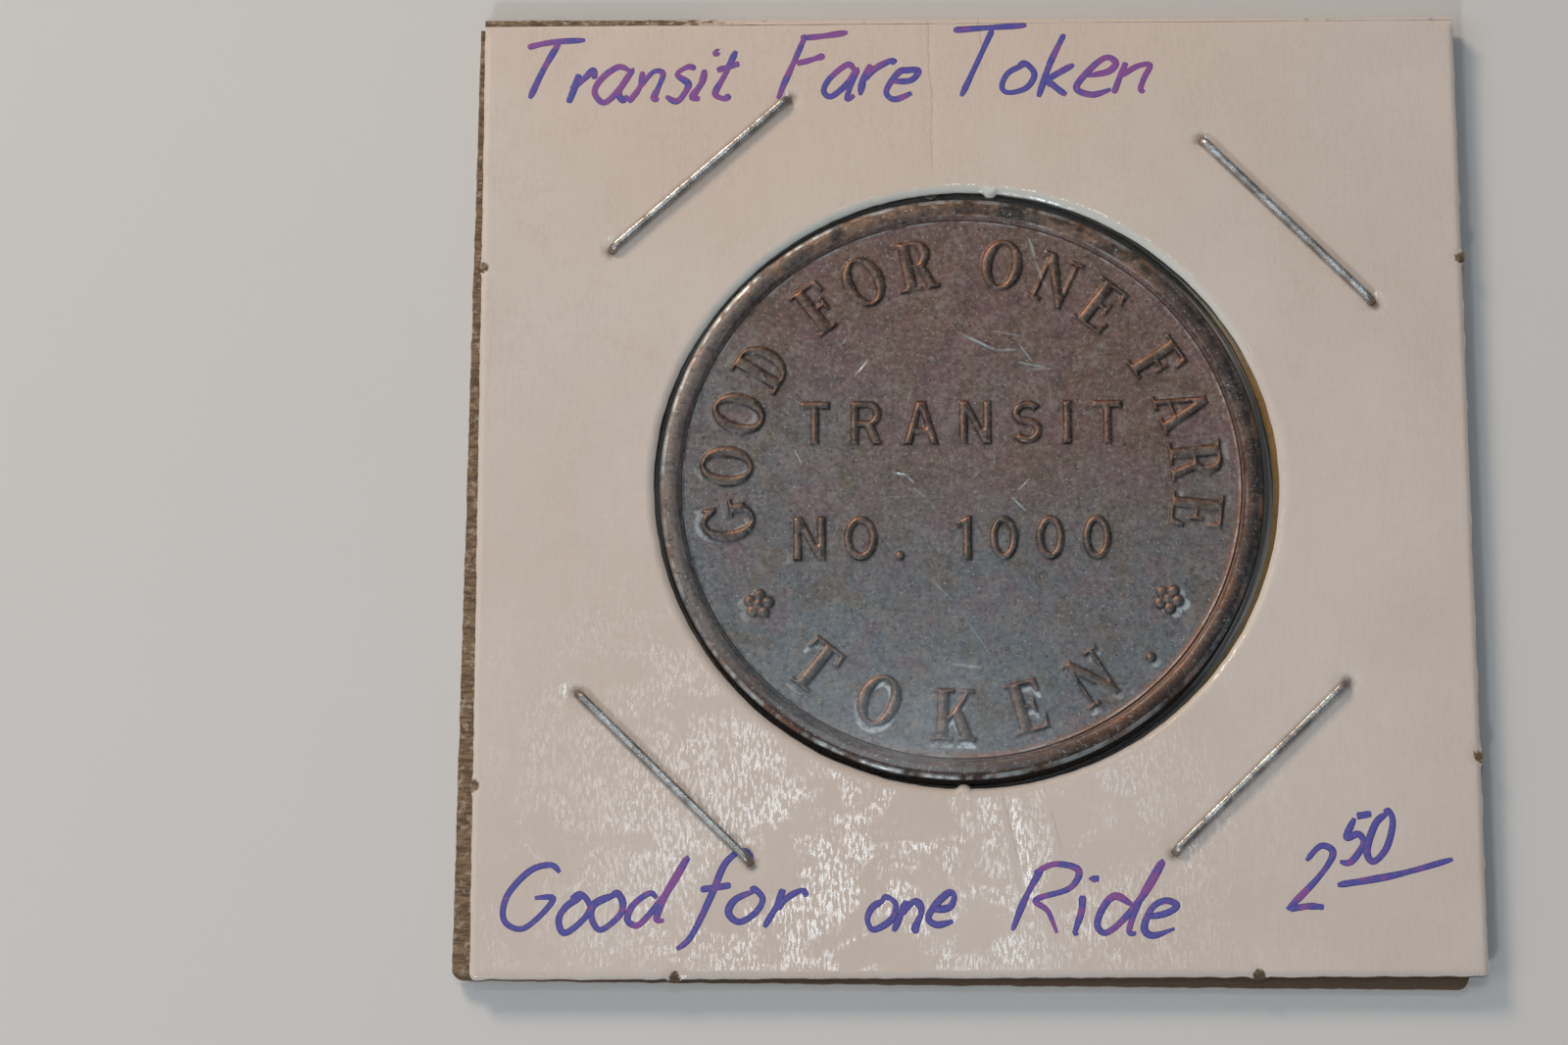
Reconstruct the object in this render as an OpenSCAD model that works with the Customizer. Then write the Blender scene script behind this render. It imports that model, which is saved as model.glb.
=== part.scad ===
// A struck fare token in a folded cardboard holder, closed by four staples.
// Origin: on the token's axis, in the plane of the clinched staple legs.
// +Z leaves the token's front face, +Y points at the holder's fold.
// Stack from z = 0: staple legs, back leaf, back film, front film, front leaf, crowns.

/* [Token] */
// Diameter over the rim
token_d = 31; // [30.6:0.1:31.2]
// Thickness over both rims
token_t = 1.6; // [1.5:0.05:1.7]
// Width of the raised rim
rim_w = 1.05; // [1:0.05:1.2]
// Depth of the field below the rim, on each face
field_depth = 0.25; // [0.22:0.01:0.3]
// Height of the struck relief above the field
relief_h = 0.18; // [0.1:0.01:0.2]
// Cap height of the legend that follows the rim
legend_h = 2.75; // [2.6:0.05:2.9]
// Cap height of the two straight lines
line_h = 2.35; // [2:0.05:2.5]

/* [Holder] */
// Side of each square leaf
leaf_w = 50.8; // [50.4:0.1:51.2]
// Thickness of the coated board
board_t = 0.5; // [0.45:0.01:0.6]
// Diameter of the window in each leaf
window_d = 32; // [31.9:0.1:32.2]
// How far the back leaf is turned out of line with the front leaf, in degrees
leaf_skew = 0.75; // [0.3:0.05:1]
// How far the crushed fold stands out past the front leaf, at its middle
fold_bulge = 0.34; // [0.3:0.02:0.5]

/* [Film] */
// Thickness of each clear film
film_t = 0.06; // [0.05:0.005:0.08]
// Side of each square film
film_w = 47; // [46:0.5:48]

/* [Staples] */
// Length of a staple's crown
crown_l = 12.7; // [12.5:0.1:12.9]
// Width of the flattened wire
wire_w = 0.46; // [0.44:0.01:0.55]
// Thickness of the flattened wire
wire_t = 0.42; // [0.38:0.01:0.45]
// Length of each clinched leg behind the holder
clinch_l = 4.6; // [4:0.1:5.5]

/* [Hidden] */
$fn = 96;

// Height of each layer's underside
film_gap = 0.02;
back_leaf_z = wire_t;
back_film_z = back_leaf_z + board_t;
front_film_z = back_film_z + film_t + film_gap;
front_leaf_z = front_film_z + film_t;
crown_z = front_leaf_z + board_t;
middle_z = front_film_z - film_gap / 2;

// The film domes over the token: clear space round the rim and over the faces
film_side_gap = 0.04;
film_face_gap = 0.02;
dome_r = token_d / 2 + film_side_gap + film_t;
dome_h = token_t / 2 + film_face_gap + film_t;

// Where the leaves and their windows lie about the token's axis
front_centre = [0.6, -0.1];
back_centre = [0, -0.35];
front_window = [0.25, 0.15];
back_window = [-0.05, 0.05];
fold_y = front_centre[1] + leaf_w / 2;
fold_turn = 0.28;
fold_edge_r = 0.35;
front_corner_r = 0.25;
back_corner_r = 0.6;

// Small nubs that die cutting leaves on the edges of a leaf
nub = [0.9, 0.2];
front_left_nubs = [12, -15.6];
front_right_nubs = [12.2, -14.3];
front_bottom_nubs = [-14.6, 14.6];
window_tab = [0.8, 0.3];

// Middle and direction of each staple's crown
bend_r = 0.15;
slot_gap = 0.04;
staples = [[-13.45, 16.95, 42], [17, 14.2, -46], [-15.15, -15.25, -45], [14.95, -14.85, 44.5]];

// Struck relief of the token
edge_r = 0.3;
rim_slope = 0.12;
legend_r = 10.7;
legend_gap = 2.55;
token_gap = 5.85;
upper_line_gap = 4.3;
lower_line_gap = 3.7;
upper_line_y = 2.2;
lower_line_y = -3.95;
rosette_r = 12.1;
rosette_angles = [-149, -30];
bead_r = 0.35;
bead_count = 40;
bead_ring_r = 13.4;

// Points of an elliptical arc about c, with the two half widths r, between two angles
function arc(c, r, from, to, steps = 8) =
    [for (i = [0:steps]) let (t = from + (to - from) * i / steps) [c[0] + r[0] * cos(t), c[1] + r[1] * sin(t)]];

function ellipse(c, r, steps = 24) = arc(c, r, 0, 360 - 360 / steps, steps - 1);

// Outline of a stroke of width w along a path of points
function unit(v) = v / norm(v);
function path_side(p, i) =
    let (v = unit(p[min(i + 1, len(p) - 1)] - p[max(i - 1, 0)])) [-v[1], v[0]];
function ribbon(p, w) = concat(
    [for (i = [0:len(p) - 1]) p[i] + path_side(p, i) * w / 2],
    [for (i = [len(p) - 1:-1:0]) p[i] - path_side(p, i) * w / 2]);

// Serif capitals on a grid ten units high: width, outline and counter of each
stem_foot = [[1, 0.9], [0, 0.9]];
stem_head = [[0, 10], [0, 9.1], [1, 9.1]];
function serif_width(ch) =
    ch == " " ? 3.4 : ch == "." ? 1.2 : ch == "F" || ch == "E" ? 6.8 : ch == "T" ? 7.2 :
    ch == "D" ? 7.4 : ch == "R" ? 7.6 : ch == "N" || ch == "O" ? 8 : ch == "K" ? 8.5 : 8.2;
function serif_outline(ch) =
    ch == "A" ? [[0, 0], [3, 0], [3, 0.9], [2.2, 0.9], [2.6, 2.6], [4.9, 2.6], [5.3, 0.9], [4.5, 0.9],
        [4.5, 0], [8.2, 0], [8.2, 0.9], [7.6, 0.9], [4.9, 10], [3.3, 10], [0.8, 0.9], [0, 0.9]] :
    ch == "D" ? concat([[0, 0]], arc([3.4, 5], [4, 5], -90, 90, 12), stem_head, stem_foot) :
    ch == "E" ? concat([[0, 0], [6.6, 0], [6.8, 2.9], [6, 2.9], [5.3, 1], [3.3, 1], [3.3, 4.5], [4.3, 4.5],
        [4.6, 3.5], [5.3, 3.5], [5.3, 6.5], [4.6, 6.5], [4.3, 5.5], [3.3, 5.5], [3.3, 9], [5.1, 9],
        [5.8, 7.2], [6.6, 7.2], [6.4, 10]], stem_head, stem_foot) :
    ch == "F" ? concat([[0, 0], [4.3, 0], [4.3, 0.9], [3.3, 0.9], [3.3, 4.5], [4.3, 4.5], [4.6, 3.5],
        [5.3, 3.5], [5.3, 6.5], [4.6, 6.5], [4.3, 5.5], [3.3, 5.5], [3.3, 9], [5.1, 9], [5.8, 7.2],
        [6.6, 7.2], [6.4, 10]], stem_head, stem_foot) :
    ch == "G" ? concat(arc([4, 5], [4, 5.1], 56, 312, 18), [[7.4, 1.6], [7.4, 3.8], [8.2, 3.8], [8.2, 4.7],
        [4.6, 4.7], [4.6, 3.8], [5.2, 3.8], [5.2, 1.7]], arc([4.1, 5], [1.8, 4.1], -62, -300, 14),
        [[6.3, 6.9], [7.1, 6.9], [7.1, 9.8], [6.5, 9.8]]) :
    ch == "K" ? concat([[0, 0], [4.3, 0], [4.3, 0.9], [3.3, 0.9], [3.3, 3.4], [4.1, 4.5], [5.5, 0.9],
        [4.9, 0.9], [4.9, 0], [8.5, 0], [8.5, 0.9], [8, 0.9], [5.6, 6.2], [7.1, 9.1], [8, 9.1], [8, 10],
        [5, 10], [5, 9.1], [5.9, 9.1], [3.3, 5], [3.3, 9.1], [4.3, 9.1], [4.3, 10]], stem_head, stem_foot) :
    ch == "N" ? [[0, 0], [2.9, 0], [2.9, 0.9], [1.9, 0.9], [1.9, 6.9], [6, 0], [7.1, 0], [7.1, 9.1],
        [8, 9.1], [8, 10], [5.2, 10], [5.2, 9.1], [6.2, 9.1], [6.2, 3.3], [2.3, 10], [0, 10], [0, 9.1],
        [1, 9.1], [1, 0.9], [0, 0.9]] :
    ch == "O" ? ellipse([4, 5], [4, 5.1]) :
    ch == "R" ? concat([[0, 0], [4.3, 0], [4.3, 0.9], [3.3, 0.9], [3.3, 4.4], [3.9, 4.4], [5.2, 0], [7.6, 0],
        [7.6, 0.9], [7, 0.9], [5.8, 4.6]], arc([4, 7.2], [3, 2.8], -50, 90, 8), stem_head, stem_foot) :
    ch == "T" ? [[1.4, 0], [5.8, 0], [5.8, 0.9], [4.75, 0.9], [4.75, 9], [5.9, 9], [6.4, 7], [7.2, 7],
        [7.1, 10], [0.1, 10], [0, 7], [0.8, 7], [1.3, 9], [2.45, 9], [2.45, 0.9], [1.4, 0.9]] :
    ch == "." ? ellipse([0.6, 1], [1, 1], 12) : [];
function serif_counter(ch) =
    ch == "A" ? [[2.9, 3.6], [4.65, 3.6], [3.75, 7.2]] :
    ch == "D" ? concat([[3.3, 1], [3.3, 9]], arc([3.4, 5], [1.8, 4], 90, -90, 10)) :
    ch == "O" ? ellipse([4, 5], [1.75, 4]) :
    ch == "R" ? concat([[3.3, 5.4], [3.3, 9]], arc([3.6, 7.2], [1.2, 1.8], 90, -90, 6)) : [];

// Plain block characters on the same grid
function block_width(ch) =
    ch == " " ? 3.6 : ch == "." ? 2 : ch == "I" ? 2.1 : ch == "1" ? 3.7 : ch == "0" ? 6.4 :
    ch == "T" || ch == "S" ? 6.8 : ch == "O" ? 7.6 : ch == "A" ? 8 : 7.2;
function block_outline(ch) =
    ch == "0" ? ellipse([3.2, 5], [3.2, 5.1]) :
    ch == "1" ? [[1.6, 0], [3.7, 0], [3.7, 10], [2.3, 10], [0.2, 8.6], [0.2, 6.9], [1.6, 7.6]] :
    ch == "A" ? [[0, 0], [2.1, 0], [2.7, 2.2], [5.3, 2.2], [5.9, 0], [8, 0], [5.1, 10], [2.9, 10]] :
    ch == "I" ? [[0, 0], [2.1, 0], [2.1, 10], [0, 10]] :
    ch == "N" ? [[0, 0], [2, 0], [2, 6.2], [5.2, 0], [7.2, 0], [7.2, 10], [5.2, 10], [5.2, 3.8], [2, 10],
        [0, 10]] :
    ch == "O" ? ellipse([3.8, 5], [3.8, 5.1]) :
    ch == "R" ? concat([[0, 0], [2, 0], [2, 3.9], [3.2, 3.9], [4.9, 0], [7.2, 0], [5.4, 4.4]],
        arc([4.1, 7], [2.9, 3], -50, 90, 8), [[0, 10]]) :
    ch == "S" ? ribbon(concat(arc([3.4, 7.1], [2.4, 1.95], 25, 260, 12),
        arc([3.4, 3.05], [2.45, 2.1], 80, -155, 12)), 1.9) :
    ch == "T" ? [[2.4, 0], [4.4, 0], [4.4, 8.1], [6.8, 8.1], [6.8, 10], [0, 10], [0, 8.1], [2.4, 8.1]] :
    ch == "." ? ellipse([1, 1.1], [1.1, 1.1], 12) : [];
function block_counter(ch) =
    ch == "0" ? ellipse([3.2, 5], [1.3, 3.2]) :
    ch == "A" ? [[3.2, 3.9], [4.8, 3.9], [4, 7.2]] :
    ch == "O" ? ellipse([3.8, 5], [1.8, 3.2]) :
    ch == "R" ? concat([[2, 5.6], [2, 8.3]], arc([3.9, 6.95], [1.1, 1.35], 90, -90, 6)) : [];

// Middle of letter i of a word set with a gap between letters, in grid units from its start
function width_at(word, serif, i) = serif ? serif_width(word[i]) : block_width(word[i]);
function middle_at(word, serif, gap, i) = i == 0 ? width_at(word, serif, 0) / 2 :
    middle_at(word, serif, gap, i - 1) + (width_at(word, serif, i - 1) + width_at(word, serif, i)) / 2 + gap;
function word_length(word, serif, gap) =
    middle_at(word, serif, gap, len(word) - 1) + width_at(word, serif, len(word) - 1) / 2;

// One character, its foot on the X axis and its middle on the Y axis
module character(ch, serif) {
    outline = serif ? serif_outline(ch) : block_outline(ch);
    counter = serif ? serif_counter(ch) : block_counter(ch);
    width = serif ? serif_width(ch) : block_width(ch);
    if (len(outline) > 0)
        translate([-width / 2, 0])
            difference() {
                polygon(outline);
                if (len(counter) > 0) polygon(counter);
            }
}

// A word on a straight line through the token's axis
module straight_word(word, height, gap) {
    size = height / 10;
    half = word_length(word, false, gap) / 2;
    for (i = [0:len(word) - 1])
        translate([(middle_at(word, false, gap, i) - half) * size, 0])
            scale(size) character(word[i], false);
}

// A word round the rim, read from outside over the top or from inside along the bottom
module rim_word(word, gap, over_top) {
    size = legend_h / 10;
    half = word_length(word, true, gap) / 2;
    turn = 180 / PI / (legend_r + legend_h / 2);
    for (i = [0:len(word) - 1]) {
        swing = (middle_at(word, true, gap, i) - half) * size * turn;
        rotate(over_top ? -swing : swing)
            translate([0, over_top ? legend_r : -legend_r - legend_h])
                scale(size) character(word[i], true);
    }
}

// Five round petals about a middle
module rosette(radius) {
    circle(r = radius * 0.35);
    for (i = [0:4])
        rotate(90 + 72 * i)
            translate([radius * 0.58, 0]) circle(r = radius * 0.42);
}

module front_relief() {
    rotate(1.5) rim_word("GOOD FOR ONE FARE", legend_gap, true);
    rotate(2) rim_word("TOKEN.", token_gap, false);
    translate([0, upper_line_y]) straight_word("TRANSIT", line_h, upper_line_gap);
    translate([-0.5, lower_line_y]) straight_word("NO. 1000", line_h, lower_line_gap);
    for (angle = rosette_angles)
        rotate(angle)
            translate([rosette_r, 0]) rosette(0.72);
}

module back_relief() {
    rosette(4.5);
    for (i = [0:bead_count - 1])
        rotate(360 / bead_count * i)
            translate([bead_ring_r, 0]) circle(r = bead_r);
}

// Half section of the coined disc: rounded edge, raised rim and sunk fields
module disc_section() {
    r = token_d / 2;
    field_r = r - rim_w;
    difference() {
        union() {
            square([r - edge_r, token_t]);
            translate([0, edge_r]) square([r, token_t - 2 * edge_r]);
            for (z = [edge_r, token_t - edge_r])
                translate([r - edge_r, z]) circle(r = edge_r);
        }
        translate([-1, -1]) square([1, token_t + 2]);
        polygon([[0, token_t - field_depth], [field_r - rim_slope, token_t - field_depth],
            [field_r, token_t], [field_r, token_t + 1], [0, token_t + 1]]);
        polygon([[0, field_depth], [field_r - rim_slope, field_depth], [field_r, 0], [field_r, -1], [0, -1]]);
    }
}

module token() {
    root = 0.05;
    color("#5f534f")
        translate([0, 0, middle_z - token_t / 2]) {
            rotate_extrude() disc_section();
            translate([0, 0, token_t - field_depth - root])
                linear_extrude(relief_h + root) front_relief();
            translate([0, 0, field_depth - relief_h])
                linear_extrude(relief_h + root) back_relief();
        }
}

// Slots for the legs of every staple, with the bend's room on the inner side
module leg_slots() {
    slot = [wire_t + bend_r + 2 * slot_gap, wire_w + 2 * slot_gap];
    for (s = staples)
        translate([s[0], s[1]])
            rotate(s[2])
                for (side = [-1, 1])
                    translate([side * (crown_l / 2 + slot_gap - slot[0] / 2), 0]) square(slot, center = true);
}

// Square with four rounded corners, longer past the fold so that the fold can cut it
module leaf_blank(corner) {
    half = leaf_w / 2;
    reach = half + 1;
    translate([-half + corner, -half]) square([leaf_w - 2 * corner, corner]);
    translate([-half, -half + corner]) square([leaf_w, half + reach - corner]);
    for (side = [-1, 1])
        translate([side * (half - corner), -half + corner]) circle(r = corner);
}

module below_fold() {
    translate([-leaf_w, fold_y - 2 * leaf_w]) square([2 * leaf_w, 2 * leaf_w]);
}

module front_leaf() {
    half = leaf_w / 2;
    color("#cdbfb2")
        translate([0, 0, front_leaf_z])
            linear_extrude(board_t)
                difference() {
                    union() {
                        intersection() {
                            translate(front_centre) leaf_blank(front_corner_r);
                            below_fold();
                        }
                        for (y = front_left_nubs)
                            translate([front_centre[0] - half, y]) square([2 * nub[1], nub[0]], center = true);
                        for (y = front_right_nubs)
                            translate([front_centre[0] + half, y]) square([2 * nub[1], nub[0]], center = true);
                        for (x = front_bottom_nubs)
                            translate([x, front_centre[1] - half]) square([nub[0], 2 * nub[1]], center = true);
                    }
                    difference() {
                        translate(front_window) circle(d = window_d);
                        for (side = [[1.4, 1], [0, -1]])
                            translate([side[0], front_window[1] + side[1] * window_d / 2])
                                square([window_tab[0], 2 * window_tab[1]], center = true);
                    }
                    leg_slots();
                }
}

module back_leaf() {
    color("#a08468")
        translate([0, 0, back_leaf_z])
            linear_extrude(board_t)
                difference() {
                    intersection() {
                        translate(back_centre) rotate(-leaf_skew) leaf_blank(back_corner_r);
                        below_fold();
                    }
                    translate(back_window) circle(d = window_d);
                    leg_slots();
                }
}

// The crushed strip of board that joins the two leaves, rounded outside and thinner to the right
module fold_strip() {
    height = crown_z - back_leaf_z;
    reach = fold_edge_r + fold_bulge;
    color("#8f7458")
        intersection() {
            translate([front_centre[0], fold_y - fold_edge_r, back_leaf_z])
                rotate(-fold_turn)
                    translate([-leaf_w, 0, 0])
                        rotate([90, 0, 90])
                            linear_extrude(2 * leaf_w) {
                                square([reach - fold_edge_r, height]);
                                translate([0, fold_edge_r]) square([reach, height - 2 * fold_edge_r]);
                                for (z = [fold_edge_r, height - fold_edge_r])
                                    translate([reach - fold_edge_r, z]) circle(r = fold_edge_r);
                            }
            translate([front_centre[0] - leaf_w / 2, fold_y, 0]) cube([leaf_w, 2, crown_z]);
        }
}

// Film for the front: a flat sheet and a flat-topped dome that covers half the token
module film(centre) {
    difference() {
        union() {
            linear_extrude(film_t)
                difference() {
                    translate(centre) square(film_w, center = true);
                    leg_slots();
                }
            cylinder(r = dome_r, h = dome_h - film_gap / 2);
        }
        translate([0, 0, -1]) cylinder(r = dome_r - film_t, h = 1 + dome_h - film_gap / 2 - film_t);
    }
}

module front_film() {
    color("#dfe6ea", 0.35)
        translate([0, 0, front_film_z]) film(front_centre);
}

module back_film() {
    color("#dfe6ea", 0.35)
        translate([0, 0, back_film_z + film_t])
            mirror([0, 0, 1]) film(back_centre);
}

// Side view of a closed staple, as a flat outline: crown on top, legs turned in below
module staple_section() {
    half = crown_l / 2;
    outer_r = bend_r + wire_t;
    top = crown_z + wire_t;
    translate([-half + outer_r, crown_z]) square([crown_l - 2 * outer_r, wire_t]);
    for (side = [0, 1])
        mirror([side, 0]) {
            translate([half - wire_t, outer_r]) square([wire_t, top - 2 * outer_r]);
            translate([half - clinch_l, 0]) square([clinch_l - outer_r, wire_t]);
            for (z = [outer_r, top - outer_r])
                intersection() {
                    translate([half - outer_r, z])
                        difference() {
                            circle(r = outer_r);
                            circle(r = bend_r);
                        }
                    translate([half - outer_r, z > top / 2 ? z : z - outer_r]) square(outer_r);
                }
        }
}

module staple(place) {
    color("#a9a39c")
        translate([place[0], place[1], 0])
            rotate(place[2])
                rotate([90, 0, 0])
                    linear_extrude(wire_w, center = true) staple_section();
}

module staple_top_left() { staple(staples[0]); }
module staple_top_right() { staple(staples[1]); }
module staple_bottom_left() { staple(staples[2]); }
module staple_bottom_right() { staple(staples[3]); }

token();
front_leaf();
back_leaf();
fold_strip();
front_film();
back_film();
staple_top_left();
staple_top_right();
staple_bottom_left();
staple_bottom_right();
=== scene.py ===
"""Looks of a struck fare token that is stapled into a folded cardboard holder.

Sizes are in millimetres in the classes below and become metres where a mesh is made.
Places are in the frame's own coordinates: origin on the token's axis, in the plane that the
clinched staple legs rest on, +Z out of the token's front face and +Y towards the fold.
"""

import logging
import math
from dataclasses import dataclass, field
from enum import Enum
from typing import Any, Callable, Iterable, Mapping, Sequence

import bpy
import numpy as np
from mathutils import Matrix, Vector


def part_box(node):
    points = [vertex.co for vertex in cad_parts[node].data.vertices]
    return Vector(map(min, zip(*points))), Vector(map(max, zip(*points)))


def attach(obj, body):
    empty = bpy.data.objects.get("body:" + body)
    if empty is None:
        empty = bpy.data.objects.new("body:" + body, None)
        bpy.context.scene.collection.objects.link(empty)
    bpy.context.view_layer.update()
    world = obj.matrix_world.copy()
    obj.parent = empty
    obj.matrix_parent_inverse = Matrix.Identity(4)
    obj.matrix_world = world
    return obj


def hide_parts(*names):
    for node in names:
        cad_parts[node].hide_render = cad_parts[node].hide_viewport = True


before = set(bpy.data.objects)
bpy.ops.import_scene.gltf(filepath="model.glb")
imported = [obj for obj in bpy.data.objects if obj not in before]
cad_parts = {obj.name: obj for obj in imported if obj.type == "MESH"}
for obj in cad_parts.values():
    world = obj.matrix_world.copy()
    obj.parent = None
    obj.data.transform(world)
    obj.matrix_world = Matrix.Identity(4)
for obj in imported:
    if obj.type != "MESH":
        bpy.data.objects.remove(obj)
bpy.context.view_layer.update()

MM = 0.001
WAVE_COUNT = 9
HOLDER = "holder"
TOKEN = "token"
FRONT_WINDOW = (0.25, 0.15)
BARE_CORE = {"coat": 0.0, "torn": 0.0, "dirt": 0.0}
BARE_METAL = {"dirt": 0, "wear": 0, "edge": 0, "scratch": 0, "flow": 0, "raised": 0}
Point = tuple[float, float]
Colour = tuple[float, float, float]

log = logging.getLogger("token_holder")


# --------------------------------------------------------------------------- node building


class Expr:
    """A node's output that grows Math nodes when Python's operators act on it."""

    def __init__(self, graph: "Graph", socket: bpy.types.NodeSocket) -> None:
        """Wraps socket, which belongs to graph's tree."""
        self.graph = graph
        self.socket = socket

    def _math(self, operation: str, *values: Any, clamp: bool = False) -> "Expr":
        """One Math node with the given operation over values, in order."""
        kind = "ShaderNodeMath"
        made = self.graph.node(kind, dict(enumerate(values)), operation=operation, use_clamp=clamp)
        return Expr(self.graph, made.outputs[0])

    def __add__(self, other: Any) -> "Expr":
        """self + other."""
        return self._math("ADD", self, other)

    def __sub__(self, other: Any) -> "Expr":
        """self - other."""
        return self._math("SUBTRACT", self, other)

    def __rsub__(self, other: Any) -> "Expr":
        """other - self."""
        return self._math("SUBTRACT", other, self)

    def __mul__(self, other: Any) -> "Expr":
        """self * other."""
        return self._math("MULTIPLY", self, other)

    def __truediv__(self, other: Any) -> "Expr":
        """self / other."""
        return self._math("DIVIDE", self, other)

    def __pow__(self, other: Any) -> "Expr":
        """self ** other."""
        return self._math("POWER", self, other)

    __radd__ = __add__
    __rmul__ = __mul__

    def clamped(self) -> "Expr":
        """The value kept between 0 and 1."""
        return self._math("ADD", self, 0.0, clamp=True)

    def step(self, low: float, high: float) -> "Expr":
        """A smooth step from 0 at low to 1 at high.

        Args:
            low: value that gives 0; it may be above high, and the step then falls.
            high: value that gives 1.

        Returns:
            The stepped value.
        """
        turned = low > high
        inputs = {"Value": self, "From Min": min(low, high), "From Max": max(low, high),
                  "To Min": 1.0 if turned else 0.0, "To Max": 0.0 if turned else 1.0}
        made = self.graph.node("ShaderNodeMapRange", inputs, interpolation_type="SMOOTHSTEP")
        return Expr(self.graph, made.outputs[0])


class Graph:
    """A node tree that is filled by calls that name a node's type, settings and inputs."""

    def __init__(self, tree: bpy.types.NodeTree) -> None:
        """Takes tree over and empties it."""
        self.tree = tree
        self.tree.nodes.clear()

    def node(self, kind: str, inputs: Mapping[Any, Any] | None = None, **settings: Any) -> bpy.types.Node:
        """Adds one node.

        Args:
            kind: the node's type name.
            inputs: socket name or number to a value, a socket or an Expr.
            settings: the node's own properties, set before its inputs; stops are a ramp's.

        Returns:
            The new node.
        """
        made = self.tree.nodes.new(kind)
        stops = settings.pop("stops", None)
        for name, value in settings.items():
            setattr(made, name, value)
        if stops:
            self._set_stops(made.color_ramp, stops)
        for key, value in (inputs or {}).items():
            self._feed(self._find(made, key), value)
        return made

    @staticmethod
    def _set_stops(ramp: bpy.types.ColorRamp, stops: Sequence[tuple[float, Colour]]) -> None:
        """Gives ramp these stops, each a place and a colour."""
        while len(ramp.elements) < len(stops):
            ramp.elements.new(0.5)
        for element, (place, colour) in zip(ramp.elements, stops):
            element.position = place
            element.color = (*colour, 1.0)

    @staticmethod
    def _find(made: bpy.types.Node, key: Any) -> bpy.types.NodeSocket:
        """The input of made with that number, or the first enabled one with that name."""
        if isinstance(key, int):
            return made.inputs[key]
        return next(s for s in made.inputs if s.name == key and s.enabled)

    def _feed(self, socket: bpy.types.NodeSocket, value: Any) -> None:
        """Links value to socket, or sets it there."""
        if isinstance(value, Expr):
            value = value.socket
        if isinstance(value, bpy.types.NodeSocket):
            self.tree.links.new(value, socket)
        elif socket.type == "RGBA":
            socket.default_value = (*value[:3], 1.0)
        else:
            socket.default_value = value


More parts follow.
